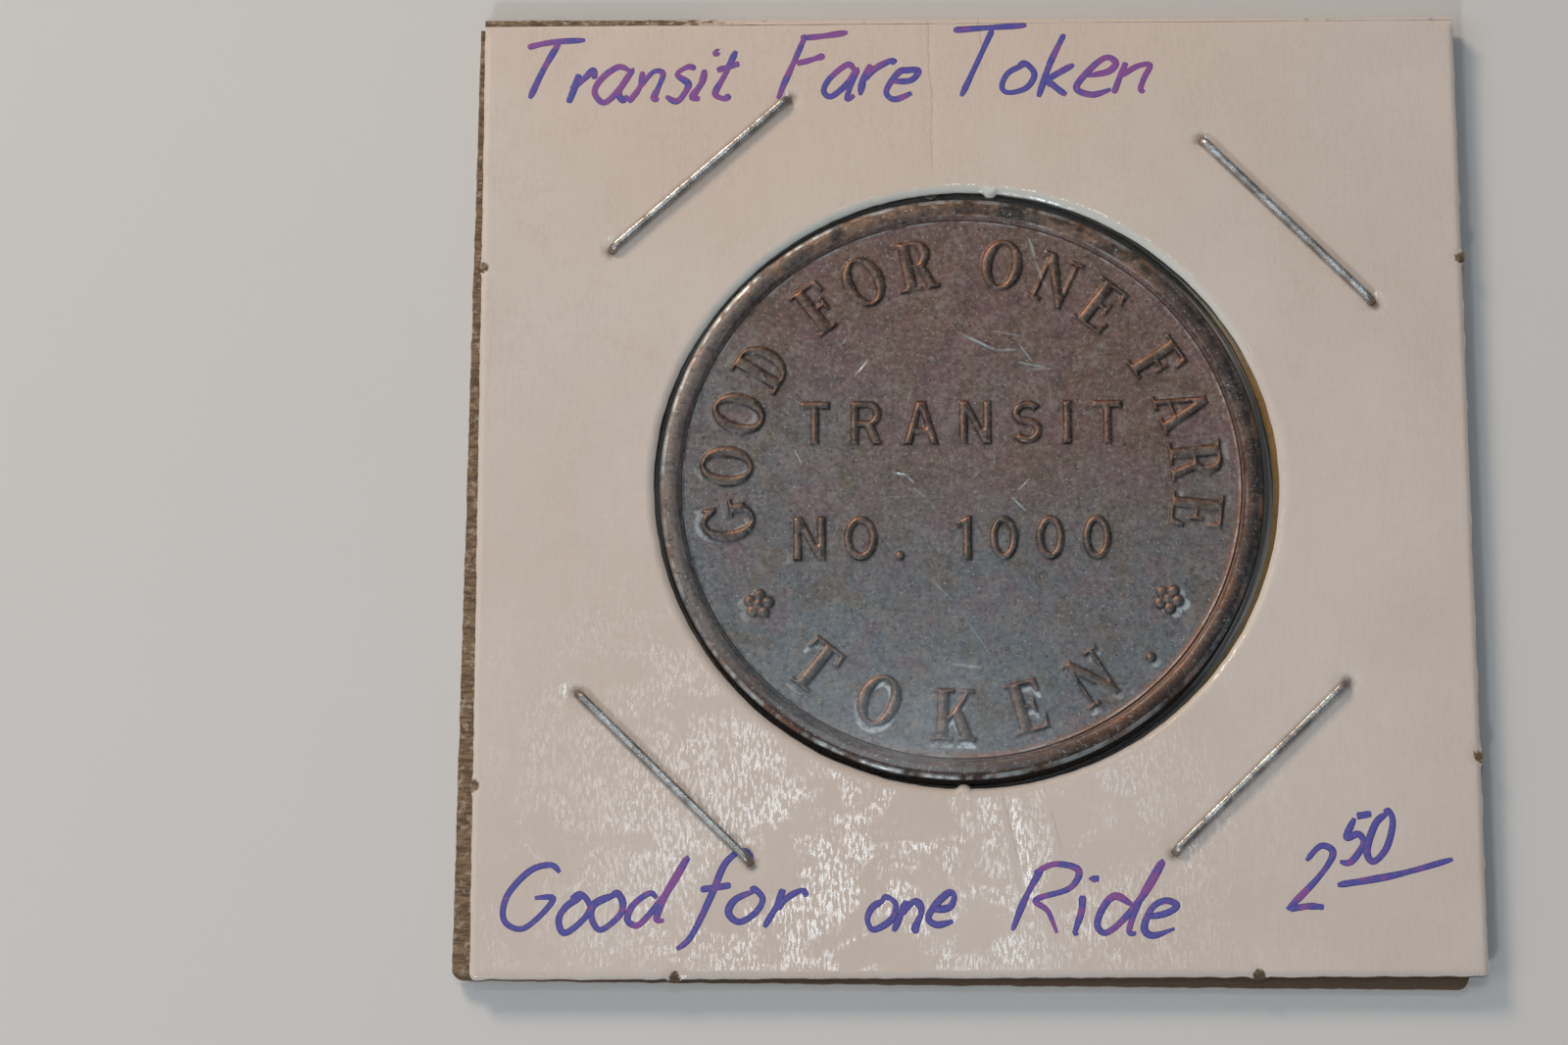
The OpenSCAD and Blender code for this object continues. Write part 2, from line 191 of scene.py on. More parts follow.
class ShaderGraph(Graph):
    """The nodes of one material, with object coordinates in millimetres ready to use."""

    def __init__(self, name: str) -> None:
        """Makes an empty material called name."""
        self.material = bpy.data.materials.new(name)
        self.material.use_nodes = True
        super().__init__(self.material.node_tree)
        coordinates = self.node("ShaderNodeTexCoord")
        self.place = self.node("ShaderNodeVectorMath", {0: coordinates.outputs["Object"], "Scale": 1 / MM},
                               operation="SCALE").outputs[0]

    def axis(self, index: int) -> Expr:
        """One object coordinate in millimetres, 0 for X to 2 for Z."""
        return Expr(self, self.node("ShaderNodeSeparateXYZ", {0: self.place}).outputs[index])

    def noise(self, size: float, detail: float = 3.0, rough: float = 0.55, shift: float = 0.0,
              stretch: tuple[float, float, float] = (1.0, 1.0, 1.0), bend: float = 0.0) -> Expr:
        """Fractal noise from 0 to 1.

        Args:
            size: width of the largest blotch in millimetres.
            detail: number of finer octaves.
            rough: how strong the finer octaves are.
            shift: moves the pattern, so that two uses differ.
            stretch: how many times longer the pattern is along each axis.
            bend: how far the pattern is distorted.

        Returns:
            The noise value.
        """
        scale = [1.0 / (size * s) for s in stretch]
        moved = (shift, shift * 0.7, shift * 0.4)
        mapped = self.node("ShaderNodeMapping", {"Vector": self.place, "Location": moved, "Scale": scale})
        made = self.node("ShaderNodeTexNoise", {"Vector": mapped.outputs[0], "Scale": 1.0, "Detail": detail,
                                                "Roughness": rough, "Distortion": bend})
        return Expr(self, made.outputs[0])

    def attribute(self, name: str) -> Expr:
        """A number that the mesh stores for each of its points."""
        made = self.node("ShaderNodeAttribute", attribute_name=name)
        return Expr(self, made.outputs["Fac"])

    def stroke(self, start: Point, stop: Point, width: float, wobble: Expr) -> Expr:
        """A mask of 1 along a thin line on the XY plane.

        Args:
            start: one end in millimetres.
            stop: the other end.
            width: half width where the mask has faded to 0.
            wobble: noise that bends the line by up to a few tenths of a millimetre.

        Returns:
            The mask.
        """
        across, along = stop[0] - start[0], stop[1] - start[1]
        length = math.hypot(across, along)
        x, y = self.axis(0) - start[0], self.axis(1) - start[1]
        side = (x * along - y * across) / length + (wobble - 0.5) * 0.9
        run = (x * across + y * along) / length
        ends = run.step(-0.2, 0.2) * run.step(length + 0.8, length - 0.8)
        return (side ** 2).step(width ** 2, 0.0) * ends

    def mix(self, share: Any, first: Any, second: Any) -> bpy.types.NodeSocket:
        """A colour between first and second, by share from 0 to 1."""
        made = self.node("ShaderNodeMix", {"Factor": share, "A": first, "B": second}, data_type="RGBA")
        return next(s for s in made.outputs if s.enabled)

    def bump(self, height: Any, depth: float, strength: float = 1.0,
             below: bpy.types.NodeSocket | None = None) -> bpy.types.NodeSocket:
        """A normal bent by height.

        Args:
            height: the height map, from 0 to 1.
            depth: what a height of 1 stands for, in millimetres.
            strength: share of the effect.
            below: another bump that this one lies on.

        Returns:
            The normal.
        """
        inputs = {"Height": height, "Distance": depth * MM, "Strength": strength}
        if below is not None:
            inputs["Normal"] = below
        return self.node("ShaderNodeBump", inputs).outputs[0]

    def surface(self, **inputs: Any) -> bpy.types.Material:
        """Ends the material in a Principled shader; a space in a socket's name is written _."""
        named = {name.replace("_", " "): value for name, value in inputs.items()}
        shader = self.node("ShaderNodeBsdfPrincipled", named)
        return self.shaded(shader.outputs[0])

    def shaded(self, socket: bpy.types.NodeSocket) -> bpy.types.Material:
        """Ends the material in the shader at socket."""
        self.node("ShaderNodeOutputMaterial", {"Surface": socket})
        return self.material


class GrowTree(Graph):
    """A geometry node tree with named inputs, run on a host object and baked to a mesh."""

    def __init__(self, name: str, inputs: Mapping[str, str]) -> None:
        """Makes the tree.

        Args:
            name: the tree's name.
            inputs: each input's name and socket type, such as NodeSocketFloat.
        """
        tree = bpy.data.node_groups.new(name, "GeometryNodeTree")
        tree.interface.new_socket("Geometry", in_out="INPUT", socket_type="NodeSocketGeometry")
        for label, kind in inputs.items():
            tree.interface.new_socket(label, in_out="INPUT", socket_type=kind)
        tree.interface.new_socket("Geometry", in_out="OUTPUT", socket_type="NodeSocketGeometry")
        super().__init__(tree)
        self.given = self.node("NodeGroupInput")

    def input(self, name: str) -> Expr:
        """The tree's input of that name."""
        return Expr(self, self.given.outputs[name])

    def position_x(self) -> Expr:
        """Each point's X."""
        place = self.node("GeometryNodeInputPosition").outputs[0]
        return Expr(self, self.node("ShaderNodeSeparateXYZ", {0: place}).outputs[0])

    def marked(self, geometry: bpy.types.NodeSocket, name: str, value: Expr) -> bpy.types.NodeSocket:
        """Geometry with value stored on its points under name."""
        inputs = {"Geometry": geometry, "Name": name, "Value": value}
        store = self.node("GeometryNodeStoreNamedAttribute", inputs, data_type="FLOAT", domain="POINT")
        return store.outputs[0]

    def end(self, geometry: bpy.types.NodeSocket) -> None:
        """Smooths and realizes geometry, gives it the material input and makes it the result."""
        smooth = self.node("GeometryNodeSetShadeSmooth", {"Geometry": geometry})
        real = self.node("GeometryNodeRealizeInstances", {"Geometry": smooth.outputs[0]})
        dressed = self.node("GeometryNodeSetMaterial", {"Geometry": real.outputs[0],
                                                        "Material": self.input("Material")})
        self.node("NodeGroupOutput", {"Geometry": dressed.outputs[0]})

    def grow(self, host: bpy.types.Object, name: str, values: Mapping[str, Any]) -> bpy.types.Object:
        """Runs the tree on host and keeps the result.

        Args:
            host: object that the tree starts from; it is removed afterwards.
            name: name of the piece.
            values: input name to value.

        Returns:
            The piece, a plain mesh at the origin.
        """
        modifier = host.modifiers.new("grow", "NODES")
        modifier.node_group = self.tree
        for item in self.tree.interface.items_tree:
            if item.item_type == "SOCKET" and item.in_out == "INPUT" and item.name in values:
                modifier[item.identifier] = values[item.name]
        mesh = baked_mesh(host)
        bpy.data.objects.remove(host)
        mesh.name = name
        return place_data(mesh, name)


# --------------------------------------------------------------------------- mesh building


def baked_mesh(piece: bpy.types.Object) -> bpy.types.Mesh:
    """A plain mesh of what piece shows with its modifiers."""
    bpy.context.view_layer.update()
    depsgraph = bpy.context.evaluated_depsgraph_get()
    return bpy.data.meshes.new_from_object(piece.evaluated_get(depsgraph), depsgraph=depsgraph)


def place_data(data: bpy.types.ID, name: str) -> bpy.types.Object:
    """Links an object called name that shows a mesh, curve, lamp or camera, at the origin."""
    piece = bpy.data.objects.new(name, data)
    bpy.context.scene.collection.objects.link(piece)
    return piece


def place_lines(lines: Iterable[tuple[np.ndarray, np.ndarray]], name: str) -> bpy.types.Object:
    """Links a curve object of straight stretches, for a growing tree to follow.

    Args:
        lines: each line's points in millimetres and the radius at each point.
        name: the object's name.

    Returns:
        The object.
    """
    curve = bpy.data.curves.new(name, "CURVE")
    curve.dimensions = "3D"
    for points, radii in lines:
        spline = curve.splines.new("POLY")
        spline.points.add(len(points) - 1)
        for point, place, radius in zip(spline.points, points, radii):
            point.co = (*place * MM, 1)
            point.radius = radius
    return place_data(curve, name)


def box_mm(node: str) -> tuple[Vector, Vector]:
    """The two corners of a CAD node's box, in millimetres."""
    low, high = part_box(node)
    return low / MM, high / MM


def headings(angles: np.ndarray) -> np.ndarray:
    """The unit vector of each angle, one in each row."""
    return np.stack([np.cos(angles), np.sin(angles)], axis=1)


def waves(points: np.ndarray, length: float, seed: int) -> np.ndarray:
    """Smooth irregular heights between about -1 and 1.

    Args:
        points: places in millimetres, one in each row.
        length: typical distance between crests, in millimetres.
        seed: which pattern.

    Returns:
        One height for each point.
    """
    source = np.random.default_rng(seed)
    total = np.zeros(len(points))
    for _ in range(WAVE_COUNT):
        angle, phase = source.uniform(0, 2 * math.pi, 2)
        pace = 2 * math.pi / (length * source.uniform(0.7, 1.6))
        along = points[:, 0] * math.cos(angle) + points[:, 1] * math.sin(angle)
        total += np.cos(along * pace + phase)
    return total / math.sqrt(WAVE_COUNT)


def smooth_step(value: Any, low: float, high: float) -> Any:
    """A smooth step of value from 0 at low to 1 at high."""
    share = np.clip((value - low) / (high - low), 0.0, 1.0)
    return share * share * (3 - 2 * share)


def line_gap(points: np.ndarray, start: np.ndarray, stop: np.ndarray) -> tuple[np.ndarray, np.ndarray]:
    """How far each point is from the straight line between start and stop.

    Args:
        points: places, one in each row.
        start: one end of the line.
        stop: its other end.

    Returns:
        The distances, and where along the line each nearest place is, from 0 to 1.
    """
    edge = stop - start
    away = points - start
    share = np.clip(away @ edge / max(edge @ edge, 1e-12), 0, 1)
    return np.hypot(*(away - share[:, None] * edge).T), share


def signed_distance(points: np.ndarray, loops: Iterable[np.ndarray]) -> np.ndarray:
    """Distance from each point to the nearest outline, negative inside.

    Args:
        points: places, one in each row.
        loops: closed outlines; a loop inside another is a hole.

    Returns:
        One distance for each point.
    """
    distance = np.full(len(points), np.inf)
    inside = np.zeros(len(points), bool)
    for loop in loops:
        for start, stop in zip(loop, np.roll(loop, -1, axis=0)):
            distance = np.minimum(distance, line_gap(points, start, stop)[0])
            away, edge = points - start, stop - start
            crosses = (start[1] > points[:, 1]) != (stop[1] > points[:, 1])
            rise = edge[1] if abs(edge[1]) > 1e-12 else 1e-12
            inside ^= crosses & (away[:, 0] < away[:, 1] / rise * edge[0])
    return np.where(inside, -distance, distance)


@dataclass
class Shell:
    """Points in millimetres and faces that grow ring by ring into one closed mesh."""

    points: list[np.ndarray] = field(default_factory=list)
    faces: list[tuple[int, ...]] = field(default_factory=list)
    marks: dict[str, list[np.ndarray]] = field(default_factory=dict)
    count: int = 0

    def add(self, points: np.ndarray, **marks: Any) -> int:
        """Adds points with their marks and returns the number of the first one."""
        first = self.count
        self.points.append(points)
        self.count += len(points)
        for name, value in marks.items():
            spread = np.broadcast_to(np.asarray(value, float), (len(points),))
            self.marks.setdefault(name, []).append(spread)
        return first

    def bridge(self, first: int, second: int, size: int, closed: bool = True) -> None:
        """Joins two rings of size points with quads."""
        for i in range(size if closed else size - 1):
            j = (i + 1) % size
            self.faces.append((first + i, first + j, second + j, second + i))

    def fan(self, ring: int, size: int, middle: Sequence[float], back: bool = False, **marks: Any) -> None:
        """Closes a ring of size points on one middle point; back turns the faces over."""
        hub = self.add(np.reshape(middle, (1, 3)), **marks)
        for i in range(size):
            here, after = ring + i, ring + (i + 1) % size
            self.faces.append((after, here, hub) if back else (here, after, hub))

    def loft(self, rings: Sequence[np.ndarray], closed: bool,
             marks: Sequence[Mapping[str, Any]] | None = None) -> list[int]:
        """Adds rings and joins each to the next.

        Args:
            rings: arrays of the same number of points.
            closed: whether the last ring joins the first.
            marks: each ring's marks.

        Returns:
            The number of each ring's first point.
        """
        marks = marks or [{}] * len(rings)
        starts = [self.add(ring, **mark) for ring, mark in zip(rings, marks)]
        size = len(rings[0])
        for first, second in zip(starts, starts[1:]):
            self.bridge(first, second, size)
        if closed:
            self.bridge(starts[-1], starts[0], size)
        return starts

    def build(self, name: str, material: bpy.types.Material, sharp: float = 70.0) -> bpy.types.Object:
        """Makes the piece, with its faces outwards.

        Args:
            name: the piece's name.
            material: its finish.
            sharp: edges steeper than this many degrees stay crisp.

        Returns:
            The piece.
        """
        points = np.concatenate(self.points)
        corners = np.array([f if len(f) == 4 else (*f, f[2]) for f in self.faces])
        a, b, c, d = (points[corners[:, i]] for i in range(4))
        volume = np.einsum("ij,ij->", np.cross(a, b), c) + np.einsum("ij,ij->", np.cross(a, c), d)
        faces = self.faces if volume > 0 else [f[::-1] for f in self.faces]
        mesh = bpy.data.meshes.new(name)
        mesh.from_pydata((points * MM).tolist(), [], faces)
        for label, parts in self.marks.items():
            values = np.concatenate(parts).astype(np.float32)
            mesh.attributes.new(label, "FLOAT", "POINT").data.foreach_set("value", values)
        mesh.validate()
        mesh.shade_smooth()
        mesh.set_sharp_from_angle(angle=math.radians(sharp))
        mesh.materials.append(material)
        return place_data(mesh, name)


def lifted(flat: np.ndarray, height: float) -> np.ndarray:
    """Flat points at one height."""
    return np.column_stack([flat, np.full(len(flat), height)])


def circle_points(radius: Any, angles: np.ndarray, height: Any) -> np.ndarray:
    """Points round the axis at the given angles, radius and height."""
    levels = np.broadcast_to(height, angles.shape)
    return np.stack([radius * np.cos(angles), radius * np.sin(angles), levels], axis=1)


# --------------------------------------------------------------------------- lettering


def arc(centre: Point, radii: Point, start: float, stop: float, steps: int = 10) -> list[Point]:
    """Points of an elliptical arc.

    Args:
        centre: its middle.
        radii: its two half widths.
        start: first angle in degrees.
        stop: last angle in degrees.
        steps: number of chords.

    Returns:
        The points, both ends included.
    """
    turns = [math.radians(start + (stop - start) * i / steps) for i in range(steps + 1)]
    return [(centre[0] + radii[0] * math.cos(t), centre[1] + radii[1] * math.sin(t)) for t in turns]


def ellipse(centre: Point, radii: Point, steps: int = 28) -> list[Point]:
    """Points of a whole ellipse."""
    return arc(centre, radii, 0, 360, steps)[:-1]


def ribbon(path: Sequence[Point], width: float) -> list[Point]:
    """Outline of a stroke of that width along path."""
    line = np.array(path)
    along = np.gradient(line, axis=0)
    side = np.stack([-along[:, 1], along[:, 0]], axis=1) / np.hypot(along[:, 0], along[:, 1])[:, None]
    outline = np.concatenate([line + side * width / 2, (line - side * width / 2)[::-1]])
    return [tuple(p) for p in outline]


@dataclass(frozen=True)
class Glyph:
    """One struck character on a grid ten units high."""

    width: float
    outline: Sequence[Point] = ()
    counter: Sequence[Point] = ()

    def loops(self) -> list[np.ndarray]:
        """Its outlines, moved so that its middle is at X = 0."""
        return [np.array(loop) - (self.width / 2, 0) for loop in (self.outline, self.counter) if len(loop)]


STEM = [(0, 10), (0, 9.1), (1, 9.1), (1, 0.9), (0, 0.9)]
UPPER_ARMS = [(3.3, 4.5), (4.3, 4.5), (4.6, 3.5), (5.3, 3.5), (5.3, 6.5), (4.6, 6.5), (4.3, 5.5), (3.3, 5.5),
              (3.3, 9), (5.1, 9), (5.8, 7.2), (6.6, 7.2), (6.4, 10)]

SERIF: dict[str, Glyph] = {
    " ": Glyph(3.4),
    ".": Glyph(1.2, ellipse((0.6, 1), (1, 1), 14)),
    "A": Glyph(8.2, [(0, 0), (3, 0), (3, 0.9), (2.2, 0.9), (2.6, 2.6), (4.9, 2.6), (5.3, 0.9), (4.5, 0.9),
                     (4.5, 0), (8.2, 0), (8.2, 0.9), (7.6, 0.9), (4.9, 10), (3.3, 10), (0.8, 0.9), (0, 0.9)],
               [(2.9, 3.6), (4.65, 3.6), (3.75, 7.2)]),
    "D": Glyph(7.4, [(0, 0)] + arc((3.4, 5), (4, 5), -90, 90, 14) + STEM,
               [(3.3, 1), (3.3, 9)] + arc((3.4, 5), (1.8, 4), 90, -90, 12)),
    "E": Glyph(6.8, [(0, 0), (6.6, 0), (6.8, 2.9), (6, 2.9), (5.3, 1), (3.3, 1)] + UPPER_ARMS + STEM),
    "F": Glyph(6.8, [(0, 0), (4.3, 0), (4.3, 0.9), (3.3, 0.9)] + UPPER_ARMS + STEM),
    "G": Glyph(8.2, arc((4, 5), (4, 5.1), 56, 312, 20)
               + [(7.4, 1.6), (7.4, 3.8), (8.2, 3.8), (8.2, 4.7), (4.6, 4.7), (4.6, 3.8), (5.2, 3.8),
                  (5.2, 1.7)]
               + arc((4.1, 5), (1.8, 4.1), -62, -300, 16) + [(6.3, 6.9), (7.1, 6.9), (7.1, 9.8), (6.5, 9.8)]),
    "K": Glyph(8.5, [(0, 0), (4.3, 0), (4.3, 0.9), (3.3, 0.9), (3.3, 3.4), (4.1, 4.5), (5.5, 0.9),
                     (4.9, 0.9), (4.9, 0), (8.5, 0), (8.5, 0.9), (8, 0.9), (5.6, 6.2), (7.1, 9.1),
                     (8, 9.1), (8, 10), (5, 10), (5, 9.1), (5.9, 9.1), (3.3, 5), (3.3, 9.1), (4.3, 9.1),
                     (4.3, 10)] + STEM),
    "N": Glyph(8, [(0, 0), (2.9, 0), (2.9, 0.9), (1.9, 0.9), (1.9, 6.9), (6, 0), (7.1, 0), (7.1, 9.1),
                   (8, 9.1), (8, 10), (5.2, 10), (5.2, 9.1), (6.2, 9.1), (6.2, 3.3), (2.3, 10)] + STEM),
    "O": Glyph(8, ellipse((4, 5), (4, 5.1)), ellipse((4, 5), (1.75, 4))),
    "R": Glyph(7.6, [(0, 0), (4.3, 0), (4.3, 0.9), (3.3, 0.9), (3.3, 4.4), (3.9, 4.4), (5.2, 0), (7.6, 0),
                     (7.6, 0.9), (7, 0.9), (5.8, 4.6)] + arc((4, 7.2), (3, 2.8), -50, 90, 10) + STEM,
               [(3.3, 5.4), (3.3, 9)] + arc((3.6, 7.2), (1.2, 1.8), 90, -90, 8)),
    "T": Glyph(7.2, [(1.4, 0), (5.8, 0), (5.8, 0.9), (4.75, 0.9), (4.75, 9), (5.9, 9), (6.4, 7), (7.2, 7),
                     (7.1, 10), (0.1, 10), (0, 7), (0.8, 7), (1.3, 9), (2.45, 9), (2.45, 0.9), (1.4, 0.9)]),
}

BLOCK: dict[str, Glyph] = {
    " ": Glyph(3.6),
    ".": Glyph(2, ellipse((1, 1.1), (1.1, 1.1), 14)),
    "0": Glyph(6.4, ellipse((3.2, 5), (3.2, 5.1)), ellipse((3.2, 5), (1.3, 3.2))),
    "1": Glyph(3.7, [(1.6, 0), (3.7, 0), (3.7, 10), (2.3, 10), (0.2, 8.6), (0.2, 6.9), (1.6, 7.6)]),
    "A": Glyph(8, [(0, 0), (2.1, 0), (2.7, 2.2), (5.3, 2.2), (5.9, 0), (8, 0), (5.1, 10), (2.9, 10)],
               [(3.2, 3.9), (4.8, 3.9), (4, 7.2)]),
    "I": Glyph(2.1, [(0, 0), (2.1, 0), (2.1, 10), (0, 10)]),
    "N": Glyph(7.2, [(0, 0), (2, 0), (2, 6.2), (5.2, 0), (7.2, 0), (7.2, 10), (5.2, 10), (5.2, 3.8), (2, 10),
                     (0, 10)]),
    "O": Glyph(7.6, ellipse((3.8, 5), (3.8, 5.1)), ellipse((3.8, 5), (1.8, 3.2))),
    "R": Glyph(7.2, [(0, 0), (2, 0), (2, 3.9), (3.2, 3.9), (4.9, 0), (7.2, 0), (5.4, 4.4)]
               + arc((4.1, 7), (2.9, 3), -50, 90, 10) + [(0, 10)],
               [(2, 5.6), (2, 8.3)] + arc((3.9, 6.95), (1.1, 1.35), 90, -90, 8)),
    "S": Glyph(6.8, ribbon(arc((3.4, 7.1), (2.4, 1.95), 25, 260, 14)
                           + arc((3.4, 3.05), (2.45, 2.1), 80, -155, 14), 1.9)),
    "T": Glyph(6.8, [(2.4, 0), (4.4, 0), (4.4, 8.1), (6.8, 8.1), (6.8, 10), (0, 10), (0, 8.1), (2.4, 8.1)]),
}


@dataclass(frozen=True)
class StruckWord:
    """A word set in one of the two alphabets, on a straight line or round the rim."""

    text: str
    alphabet: Mapping[str, Glyph]
    height: float
    gap: float

    def middles(self) -> list[float]:
        """Each character's middle along the line, in millimetres, centred on 0."""
        widths = [self.alphabet[ch].width for ch in self.text]
        starts = [sum(widths[:i]) + self.gap * i for i in range(len(widths))]
        length = starts[-1] + widths[-1]
        size = self.height / 10
        return [(start + width / 2 - length / 2) * size for start, width in zip(starts, widths)]

    def _set(self, place: Callable[[float], tuple[float, Point]]) -> list[list[np.ndarray]]:
        """Every character's outlines, turned and moved as place says for its middle."""
        made = []
        for ch, middle in zip(self.text, self.middles()):
            turn, origin = place(middle)
            c, s = math.cos(turn), math.sin(turn)
            turned = [loop * self.height / 10 @ np.array([[c, s], [-s, c]]) + origin
                      for loop in self.alphabet[ch].loops()]
            if turned:
                made.append(turned)
        return made

    def straight(self, x: float, y: float) -> list[list[np.ndarray]]:
        """Outlines along a level line whose middle is at x, with its feet at y."""
        return self._set(lambda middle: (0.0, (middle + x, y)))

    def over_top(self, radius: float, turn: float) -> list[list[np.ndarray]]:
        """Outlines over the top of the rim, with feet at radius, turned by turn degrees."""
        def place(middle: float) -> tuple[float, Point]:
            """Turn and foot of the character at middle."""
            angle = math.radians(turn) - middle / (radius + self.height / 2)
            return angle, (-radius * math.sin(angle), radius * math.cos(angle))
        return self._set(place)

    def along_bottom(self, radius: float, turn: float) -> list[list[np.ndarray]]:
        """Outlines along the bottom of the rim, with heads at radius, turned by turn degrees."""
        def place(middle: float) -> tuple[float, Point]:
            """Turn and foot of the character at middle."""
            angle = math.radians(turn) + middle / (radius + self.height / 2)
            reach = radius + self.height
            return angle, (reach * math.sin(angle), -reach * math.cos(angle))
        return self._set(place)


# --------------------------------------------------------------------------- finishes


@dataclass(frozen=True)
class TonedCopper:
    """Struck copper alloy, toned brown and slate, rubbed bright on the high edges; painted light too: a cool
    sheen towards the bottom left, lit and shaded sides of the rim, highlights on the letters' upper edges,
    glints round the letters and rim, and shade below the letters.
    """

    brown: Colour = (0.232, 0.142, 0.117)
    slate_and_sheen: Colour = (0.192, 0.222, 0.240)
    plum: Colour = (0.226, 0.133, 0.145)
    olive: Colour = (0.180, 0.138, 0.092)
    light: Colour = (0.380, 0.345, 0.325)
    raised: Colour = (0.138, 0.108, 0.080)
    dark: Colour = (0.070, 0.056, 0.052)
    rim: Colour = (0.045, 0.043, 0.042)
    side: Colour = (0.225, 0.200, 0.190)
    crown: Colour = (0.320, 0.215, 0.152)
    heel_shade: Colour = (0.060, 0.030, 0.017)
    copper: Colour = (0.52, 0.225, 0.110)
    flow: Colour = (0.66, 0.74, 0.76)
    grime: Colour = (0.012, 0.010, 0.010)
    bare: Colour = (0.56, 0.62, 0.62)

    def build(self) -> bpy.types.Material:
        """The material."""
        g = ShaderGraph("toned_copper")
        x, y = g.axis(0), g.axis(1)
        radius = (x ** 2 + y ** 2) ** 0.5
        drift = g.noise(8.0, detail=4.0, rough=0.6)
        patch = g.noise(2.2, detail=5.0, rough=0.65, shift=13.0)
        mottle = g.noise(0.9, detail=5.0, rough=0.7, shift=7.0)
        fine = g.noise(0.24, detail=3.0, rough=0.6, shift=3.0)
        speck = g.noise(0.16, detail=1.0, shift=21.0)
        # Slate toning towards the bottom left, which also paints in a cool sheen there: partly toning, partly
        # painted reflection.
        lower = (y * -0.060 - x * 0.024 + drift * 1.6 - 0.36).clamped()
        tone = g.mix(lower, self.brown, self.slate_and_sheen)
        tone = g.mix(patch.step(0.50, 0.62) * 0.45, tone, self.plum)
        tone = g.mix(patch.step(0.50, 0.38) * 0.50, tone, self.olive)
        # Painted light on the rim: lighter on the left, a painted warm highlight on part of the top, dark on
        # the right and painted shade at the bottom.
        edge = g.mix(x.step(-6.0, -14.0), self.rim, self.side)
        edge = g.mix(y.step(8.0, 14.0) * patch.step(0.40, 0.60), edge, self.crown)
        edge = g.mix(y.step(-7.0, -13.0), edge, self.heel_shade)
        on_rim = radius.step(14.3, 14.7)
        tone = g.mix(on_rim * 0.92, tone, edge)
        tone = g.mix(g.attribute("raised") * 0.6, tone, self.raised)
        quiet = 1.0 - on_rim * 0.5
        tone = g.mix(mottle.step(0.51, 0.64) * quiet * 0.38, tone, self.light)
        tone = g.mix(mottle.step(0.49, 0.37) * 0.42, tone, self.dark)
        tone = g.mix(fine.step(0.52, 0.66) * quiet * 0.42, tone, self.light)
        tone = g.mix(fine.step(0.48, 0.34) * 0.46, tone, self.dark)
        tone = g.mix(speck.step(0.68, 0.74) * 0.7, tone, self.grime)
        tone = g.mix(speck.step(0.33, 0.27) * 0.5, tone, self.bare)
        # Copper at the field's edge, growing towards the bottom right: partly copper toning, partly a painted
        # warm reflection.
        warm_tone_and_reflection = (x * 0.05 - y * 0.06 - 0.45 + drift * 0.5).clamped() * g.attribute("edge")
        tone = g.mix(warm_tone_and_reflection * 0.42, tone, self.copper)
        # Pale flow smears beside the letters, stronger towards the bottom: partly metal flow, partly painted
        # glints.
        flow = g.attribute("flow") * mottle.step(0.38, 0.54) * (0.50 - y * 0.045).clamped()
        tone = g.mix(flow * 0.9, tone, self.flow)
        # Copper on the rim's rubbed high edges and, on the letters' upper edges, a painted warm highlight.
        worn_and_lit = g.attribute("wear") * mottle.step(0.38, 0.56)
        tone = g.mix(worn_and_lit * 0.45, tone, self.copper)
        # Dark grime in the recesses, with painted shade heavier below the letters and on the rim's side in
        # the gap.
        tone = g.mix(g.attribute("dirt") * mottle.step(0.30, 0.46) * 0.95, tone, self.grime)
        # Bare metal in the scratches, plus painted glints along the rim's foot and ridges.
        tone = g.mix(g.attribute("scratch"), tone, self.bare)
        normal = g.bump(mottle, 0.040, 0.5)
        normal = g.bump(fine, 0.032, 0.6, normal)
        rough = 0.36 + mottle.step(0.36, 0.64) * 0.16 + fine.step(0.40, 0.60) * 0.08
        rough = rough + g.attribute("raised") * 0.10 + g.attribute("dirt") * 0.30 - worn_and_lit * 0.12
        rough = rough + on_rim * 0.06 - g.attribute("scratch") * 0.16
        return g.surface(Base_Color=tone, Metallic=0.78, Roughness=rough, Normal=normal)


